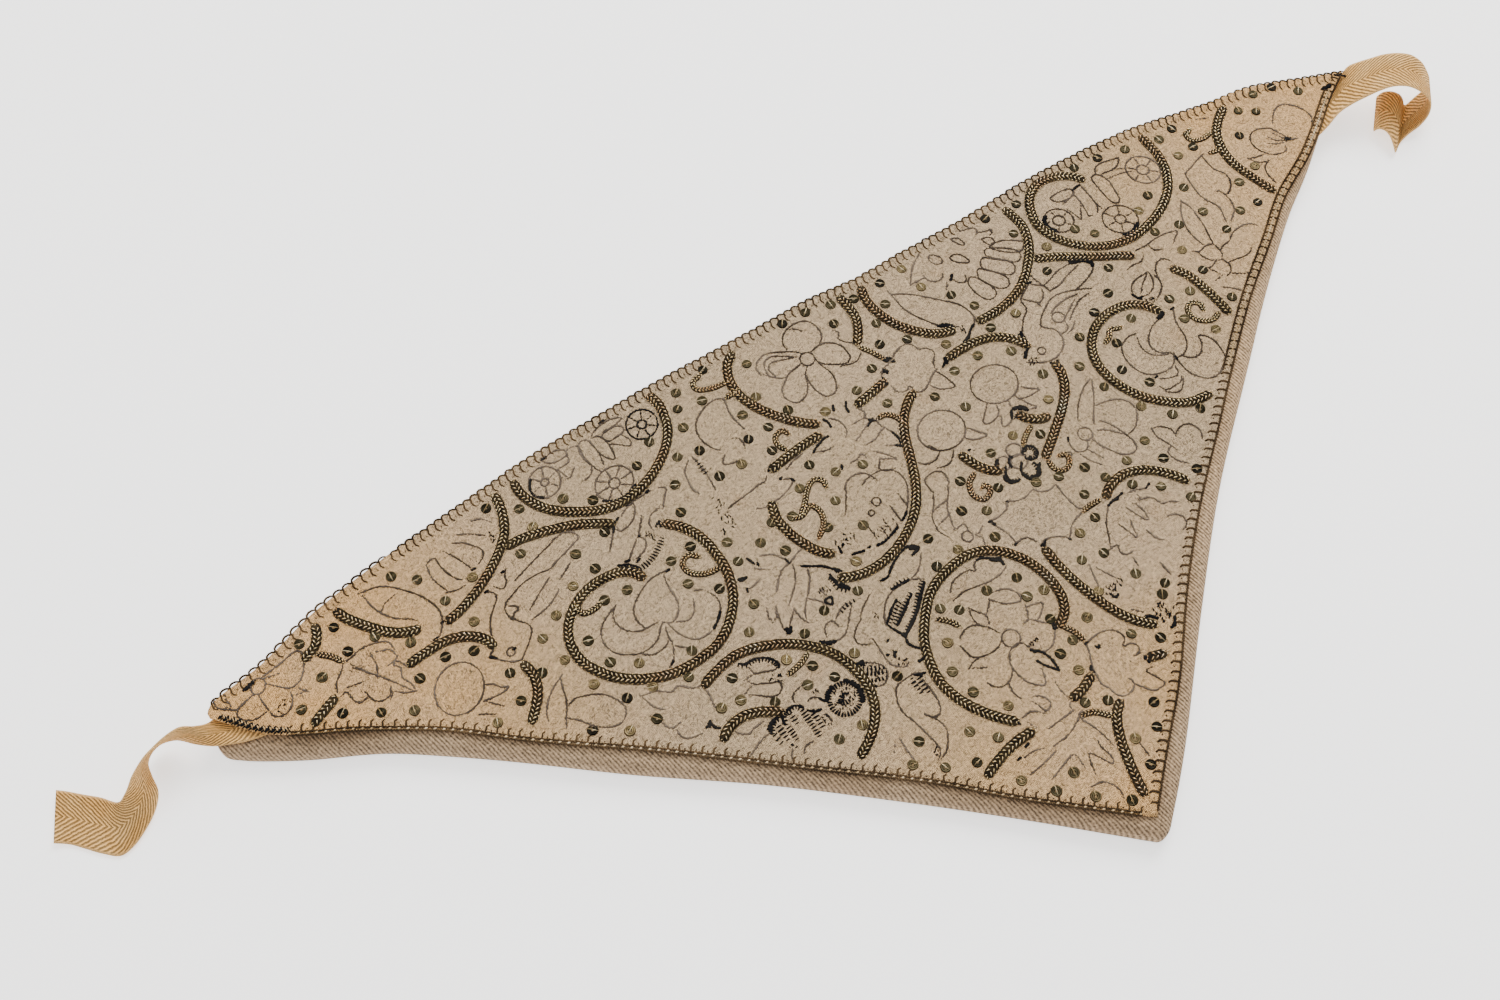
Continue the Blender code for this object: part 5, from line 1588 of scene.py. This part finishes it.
BROWN_PATCHES = [
    (41.4, -54.3, 6.4, 5.8, 60), (18.4, -8.0, 4.0, 4.0, 14), (90.5, -68.0, 4.0, 6.0, 30),
    (104.0, -79.0, 4.5, 4.5, 30), (-170.5, -21.5, 8.0, 7.5, 150), (-149.8, -42.2, 6.4, 6.4, 80),
    (-183.5, -5.5, 5.5, 3.0, 34), (-191.5, -12.0, 3.6, 4.0, 30), (-203.0, -7.5, 3.2, 2.2, 16),
    (-127.0, -9.0, 3.0, 6.0, 20), (-109.0, -36.0, 9.0, 3.0, 26), (-60.0, -74.0, 4.0, 3.0, 20),
    (25.6, -99.5, 9.6, 5.6, 150), (-118.5, -75.5, 4.6, 4.2, 60), (-98, -91, 5.6, 5.2, 44),
    (79, -102, 4.2, 4.0, 32), (17, -148, 5.2, 6.4, 44), (36, -137, 4.6, 5.0, 40),
    (52.5, -112, 5.0, 4.4, 34), (55, -83.4, 1.5, 1.5, 9), (-5.5, -105, 5.0, 1.5, 16),
    (3, -105.2, 3.6, 2.0, 12), (-40.5, -105, 0.4, 8.0, 22), (123, -10.5, 2.2, 0.8, 7),
    (102, -4.9, 2.4, 0.9, 6), (66, -80.5, 4.4, 4.0, 18), (-150, -9, 4.4, 6.0, 22),
    (17.8, -59.4, 4.5, 4.0, 20), (-8, -24, 5.0, 3.6, 14), (-12.5, -70, 6.4, 6.6, 26),
    (0.5, -132.5, 3.4, 2.6, 14), (-80, -55, 0.5, 4.5, 9),
]
print("Specks:", sum(row[-1] for row in BLACK_PATCHES + BROWN_PATCHES))

# %% Strew the seed stitches
SPECK_TURN = 1.2  # radians, on average
SPECK_TURN_SPREAD = 0.5


def strewn(patches, seed, small, large):
    """Return specks strewn evenly over oval patches."""
    luck = random.Random(seed)
    specks = []
    for u, v, across, down, count in patches:
        for _ in range(count):
            reach, angle = math.sqrt(luck.random()), luck.uniform(0, 2 * math.pi)
            specks.append({
                "point": on_linen(u + across * reach * math.cos(angle), v + down * reach * math.sin(angle)),
                "turn": (0.0, 0.0, luck.gauss(SPECK_TURN, SPECK_TURN_SPREAD)),
                "size": luck.uniform(small, large),
                "tone": luck.random(),
            })
    return specks


seed_stitch = make_link(
    "seed_stitch",
    [(-0.40, 0.0, 0.0, 0.13, 0.08), (0.0, 0.02, 0.13, 0.20, 0.14), (0.40, 0.0, 0.0, 0.13, 0.08)])
black_specks = strewn(BLACK_PATCHES, seed=31, small=0.7, large=1.4)
brown_specks = strewn(BROWN_PATCHES, seed=32, small=0.42, large=0.72)
black_seeds = set_pieces("black_seeds", black_specks, seed_stitch, BLACK_SILK)
brown_seeds = set_pieces("brown_seeds", brown_specks, seed_stitch, BROWN_SILK)
print("Faces of the black specks:", len(black_seeds.data.polygons))

# %% [markdown]
# The worked edges
#
# Each edge of the linen has an edging of its own. Along the top, curved rungs
# run in from the hem, and a loop of the same thread lies along the hem from
# each rung to the next. The left edge carries two dark twisted cords with pale
# beads spaced between them and hooks on the inner side, and near the tip a
# heavy chain in black and white. The right edge is a ladder: rungs, a rail and,
# towards the tip, a second rail with a pale cord between the two. All are
# links on a line that runs beside the cut.

# %% The links of the edges
PALE_SILK = make_silk_finish("pale_silk", rgb(0.50, 0.34, 0.17), rgb(0.70, 0.54, 0.34))
EDGE_SILK = make_silk_finish("edge_silk", rgb(0.034, 0.020, 0.009), rgb(0.090, 0.054, 0.025))


def make_long_rung(pitch, reach, thick):
    """A curved rung and, at the hem, the loop that reaches the next one."""
    return make_link(
        "long_rung",
        [(0.50, -2.60, 0.02, 0.18, 0.10), (-0.10, -1.7, 0.14, 0.25, 0.16), (-0.15, -0.8, 0.16, 0.26, 0.17),
         (0.25, 0.0, 0.10, 0.26, 0.16), (0.4, reach - 0.55, -0.10, 0.24, 0.16)],
        [(0.1, reach - 1.0, 0.05, 0.26, 0.15), (pitch * 0.22, reach - 0.25, -0.02, thick, 0.20),
         (pitch * 0.5, reach, -0.05, thick, 0.21), (pitch * 0.8, reach - 0.25, -0.05, thick, 0.20),
         (pitch + 0.3, reach - 1.0, 0.05, 0.26, 0.15)],
        [(pitch * 0.5, -1.45, 0.02, 0.18, 0.07), (pitch * 0.5 + 0.4, -1.45, 0.02, 0.18, 0.07)])


left_hook = make_link(
    "left_hook",
    [(0.0, -0.3, 0.06, 0.26, 0.17), (0.08, 0.8, 0.16, 0.29, 0.18), (0.0, 1.7, 0.12, 0.26, 0.16),
     (0.75, 2.35, 0.02, 0.18, 0.10)],
    [(1.45, 0.75, 0.02, 0.19, 0.08), (1.85, 0.75, 0.02, 0.19, 0.08)])
twist = make_link(
    "cord_twist",
    [(-0.48, -0.26, 0.12, 0.20, 0.14), (0.0, 0.0, 0.30, 0.34, 0.22), (0.48, 0.26, 0.12, 0.20, 0.14)])
right_rung = make_link(
    "right_rung",
    [(0.0, -0.2, 0.06, 0.32, 0.17), (0.10, 0.9, 0.18, 0.36, 0.20), (-0.15, 2.2, 0.10, 0.33, 0.17),
     (-0.95, 2.80, 0.02, 0.26, 0.12)],
    [(1.30, 1.9, 0.02, 0.20, 0.09), (1.72, 1.9, 0.02, 0.20, 0.09)])
tip_block = make_link(
    "tip_block",
    [(-0.75, -1.05, 0.06, 0.34, 0.17), (-0.1, -0.15, 0.34, 0.62, 0.28), (0.55, 0.95, 0.08, 0.42, 0.18)],
    [(0.20, -1.5, 0.04, 0.20, 0.12), (0.55, -0.85, 0.18, 0.28, 0.18), (0.9, -0.3, 0.04, 0.20, 0.12)])
tip_thread = make_link(
    "tip_thread",
    [(-0.65, 0.75, 0.10, 0.12, 0.10), (0.0, 0.10, 0.34, 0.20, 0.16), (0.7, -0.85, 0.10, 0.12, 0.10)])
wide_rung = make_long_rung(3.3, 1.5, 0.38)
narrow_rung = make_long_rung(2.65, 1.45, 0.34)
print("A rung with its loop has", len(wide_rung.data.polygons), "faces")

# %% Work the edges
EDGE_STEP = 0.8
EDGE_ABOVE = 0.05
EDGE_CHANCE = 0.06
FIRST_EDGE_SEED = 41


def edge_part(line, inset, low, high):
    """Return a stretch of an edge line, moved into the cloth by an inset."""
    points = [point for point in line if low <= point.x <= high]
    inwards = -inset if line is long_line else inset
    moved = [point + leftwards(ahead_at(points, k)) * inwards for k, point in enumerate(points)]
    return [on_linen(point.x, point.y, EDGE_ABOVE) for point in even(moved, EDGE_STEP)], False


# Columns: name, line, inset, from u, to u, link, pitch, finish, solid replaced.
EDGE_WORK = [
    ("long_edge_left", long_line, 0.7, -213, -150, wide_rung, 3.3, EDGE_SILK, "edging_long"),
    ("long_edge_right", long_line, 1.1, -150, 212, narrow_rung, 2.65, EDGE_SILK, None),
    ("left_edge_cord", left_line, -0.40, -198, -3, twist, 0.85, EDGE_SILK, "edging_left"),
    ("left_edge_inner_cord", left_line, 0.55, -198, -3, twist, 0.85, EDGE_SILK, None),
    ("left_edge_pale_cord", left_line, 0.14, -198, -3, twist, 2.6, PALE_SILK, None),
    ("left_edge_hooks", left_line, 0.6, -198, -4, left_hook, 3.3, EDGE_SILK, None),
    ("left_tip_chain", left_line, 1.2, -213.5, -198, tip_block, 1.75, BLACK_SILK, None),
    ("left_tip_pale_chain", left_line, 1.3, -213.5, -197, tip_thread, 0.95, PALE_SILK, None),
    ("right_edge_rail", right_line, 0.20, -1, 212, twist, 0.85, EDGE_SILK, "edging_right"),
    ("right_edge_inner_rail", right_line, 2.75, 105, 205, twist, 0.90, EDGE_SILK, None),
    ("right_edge_pale_cord", right_line, 1.45, 105, 205, twist, 1.05, PALE_SILK, None),
    ("right_edge_rungs", right_line, 0.30, 0, 211, right_rung, 3.1, EDGE_SILK, None),
]
for seed, (name, line, inset, start, end, link, pitch, finish, solid) in enumerate(
        EDGE_WORK, FIRST_EDGE_SEED):
    lines = [edge_part(line, inset, start, end)]
    piece = stitch(name, lines, link, pitch, finish, EDGE_CHANCE, EDGE_CHANCE, seed)
    if solid:
        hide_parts(solid)

# %% [markdown]
# The tapes
#
# A soft tape holds the curve that it dried in: the left one twists over and
# lies down again, and the right one loops over and back. Each is drawn as two
# selvages that are smoothed together. The sections are then divided across,
# given a thin wall and laid with a UV that runs along and across the tape, in
# millimetres, for the weave.

# %% The selvages of the tapes
# Columns: x, y, z of the near selvage, then x, y, z of the far selvage, in
# millimetres from the line between the tips and from the floor.
TAPE_LEFT = [
    (-190, -16.0, 8.8, -202.0, 1.5, 8.8),
    (-200, -14.0, 8.8, -209.5, 1.0, 8.8),
    (-209.5, -11.8, 8.9, -215.5, -0.8, 8.9),
    (-213.5, -10.2, 8.9, -217.5, -1.3, 10.6),
    (-217.6, -8.0, 8.4, -219.4, -1.8, 14.0),
    (-222.3, -3.4, 6.0, -223.0, -1.2, 17.2),
    (-226.5, 1.5, 4.2, -228.0, -2.0, 18.2),
    (-231.0, 3.2, 3.5, -232.0, -3.0, 17.8),
    (-234.5, 2.3, 3.0, -235.3, -4.0, 17.3),
    (-236.8, 0.2, 2.3, -238.0, -5.2, 16.6),
    (-237.5, -3.3, 1.7, -240.7, -6.6, 15.5),
    (-238.0, -8.5, 1.2, -243.5, -8.0, 13.0),
    (-241.0, -13.0, 1.0, -246.0, -8.0, 9.5),
    (-246.0, -17.0, 1.0, -248.0, -7.0, 5.5),
    (-251.0, -19.5, 1.0, -249.6, -5.2, 2.4),
    (-255.0, -19.8, 0.8, -250.8, -3.4, 0.9),
    (-259.3, -16.2, 0.7, -252.8, -0.9, 0.7),
    (-262.7, -12.4, 0.7, -256.3, 2.3, 0.7),
    (-266.0, -8.8, 0.9, -260.2, 5.9, 1.0),
    (-269.5, -6.4, 1.6, -262.6, 7.6, 2.0),
]
TAPE_RIGHT = [
    (184.0, -15.5, 8.8, 199.0, -1.0, 8.8),
    (190.0, -15.5, 8.8, 206.0, 0.0, 8.8),
    (195.5, -14.2, 8.9, 213.5, 0.3, 8.9),
    (201.5, -12.6, 10.4, 217.0, 0.8, 10.4),
    (206.0, -13.0, 12.3, 220.0, -0.5, 12.0),
    (210.5, -14.0, 14.0, 223.0, -2.0, 13.3),
    (215.0, -15.3, 15.8, 227.0, -3.8, 14.6),
    (219.2, -17.0, 17.0, 231.2, -6.2, 15.0),
    (223.0, -19.7, 17.2, 234.8, -9.0, 14.5),
    (226.3, -22.8, 15.6, 237.5, -12.2, 12.4),
    (228.7, -25.5, 13.0, 239.0, -14.5, 9.5),
    (229.5, -27.2, 10.3, 240.0, -16.0, 6.8),
    (228.5, -28.5, 7.5, 239.8, -17.0, 4.2),
    (225.5, -29.2, 4.8, 238.0, -17.5, 2.2),
    (221.0, -29.0, 2.2, 234.5, -17.8, 1.2),
    (217.2, -29.8, 1.0, 230.5, -18.4, 0.9),
    (213.6, -31.8, 1.0, 228.6, -18.4, 2.0),
    (212.6, -31.0, 3.4, 227.9, -17.4, 4.4),
    (213.2, -27.8, 5.0, 226.8, -15.8, 6.2),
    (213.2, -25.0, 5.5, 225.0, -13.5, 6.4),
    (212.4, -22.8, 4.8, 223.4, -11.8, 5.0),
    (211.6, -21.8, 3.0, 222.4, -11.2, 2.7),
]
print("Sections:", len(TAPE_LEFT), "of the left tape and", len(TAPE_RIGHT), "of the right one")

# %% Tapes
TAPE_WALL = 0.55
TAPE_STRIPS = 16
SELVAGE = 0.55  # how thick the wall is at a selvage, beside its middle
LOWEST_TAPE_MIDDLE = 0.6


def make_tape(name, rows, solid):
    """A woven tape that follows its two selvages."""
    grid = []
    for section in smooth(rows, steps=10):
        near, far = Vector(section[:3]), Vector(section[3:])
        line = [near.lerp(far, k / TAPE_STRIPS) for k in range(TAPE_STRIPS + 1)]
        for point in line:
            point.z = max(point.z, LOWEST_TAPE_MIDDLE)
        grid.append(line)
    verts = []
    charts = []
    travelled = 0.0
    middle = TAPE_STRIPS // 2
    for place, line in enumerate(grid):
        ahead = grid[min(place + 1, len(grid) - 1)]
        behind = grid[max(place - 1, 0)]
        travelled += (line[middle] - behind[middle]).length
        upper = []
        under = []
        for k, point in enumerate(line):
            normal = (ahead[k] - behind[k]).cross(line[-1] - line[0]).normalized()
            swell = 0.5 * TAPE_WALL * (SELVAGE if k in (0, TAPE_STRIPS) else 1.0)
            centre = point + Vector((0, ORIGIN_FROM_TIP_LINE, 0))
            upper.append((centre + normal * swell) * MM)
            under.append((centre - normal * swell) * MM)
        across = [(TAPE_WIDTH * k / TAPE_STRIPS, travelled) for k in range(TAPE_STRIPS + 1)]
        verts += upper + under[::-1]
        charts += across + across[::-1]
    tape = make_piece(name, verts, loft_faces(len(grid), 2 * (TAPE_STRIPS + 1)), TAPE_FINISH, charts)
    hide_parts(solid)
    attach(tape, "root")
    print(name, "is", round(travelled, 1), "mm long")


make_tape("left_tape", TAPE_LEFT, "tape_left")
make_tape("right_tape", TAPE_RIGHT, "tape_right")

# %% [markdown]
# The floor and the light
#
# A pale floor and two large soft lamps stand in for a studio. Large lamps give
# the raised threads a gentle shadow without hiding the colour of the cloth.

# %% Floor and lights


def make_floor():
    """A plain pale floor under the board."""
    finish = Finish("pale_floor", Roughness=0.9, Emission_Strength=1.3)
    finish.set("Base Color", rgb(0.90, 0.90, 0.90))
    finish.set("Emission Color", rgb(1.0, 0.99, 0.985))
    reach = 3.0
    just_below = -0.0001
    verts = [(-reach, -reach, 0), (reach, -reach, 0), (reach, reach, 0), (-reach, reach, 0)]
    floor = make_piece("floor", verts, [(0, 1, 2, 3)], finish.material)
    floor.location.z = just_below


def make_lamp(name, place, size, watts, colour):
    """A square soft lamp that points at the middle of the scene."""
    data = bpy.data.lights.new(name, "AREA")
    data.size = size
    data.energy = watts
    data.color = colour
    lamp = show(name, data)
    lamp.location = place
    lamp.rotation_euler = (-Vector(place)).to_track_quat("-Z", "Y").to_euler()


make_floor()
make_lamp("key", (0.90, 0.75, 1.25), size=1.0, watts=36.0, colour=(1.0, 0.985, 0.95))
make_lamp("fill", (-0.7, 0.5, 1.3), size=1.4, watts=8.0, colour=(1.0, 1.0, 0.99))
world = bpy.data.worlds.new("studio")
world.use_nodes = True
background = world.node_tree.nodes["Background"]
background.inputs["Color"].default_value = rgb(1.0, 0.99, 0.98)
background.inputs["Strength"].default_value = 0.80
bpy.context.scene.world = world
print("Lamps:", len(bpy.data.lights))
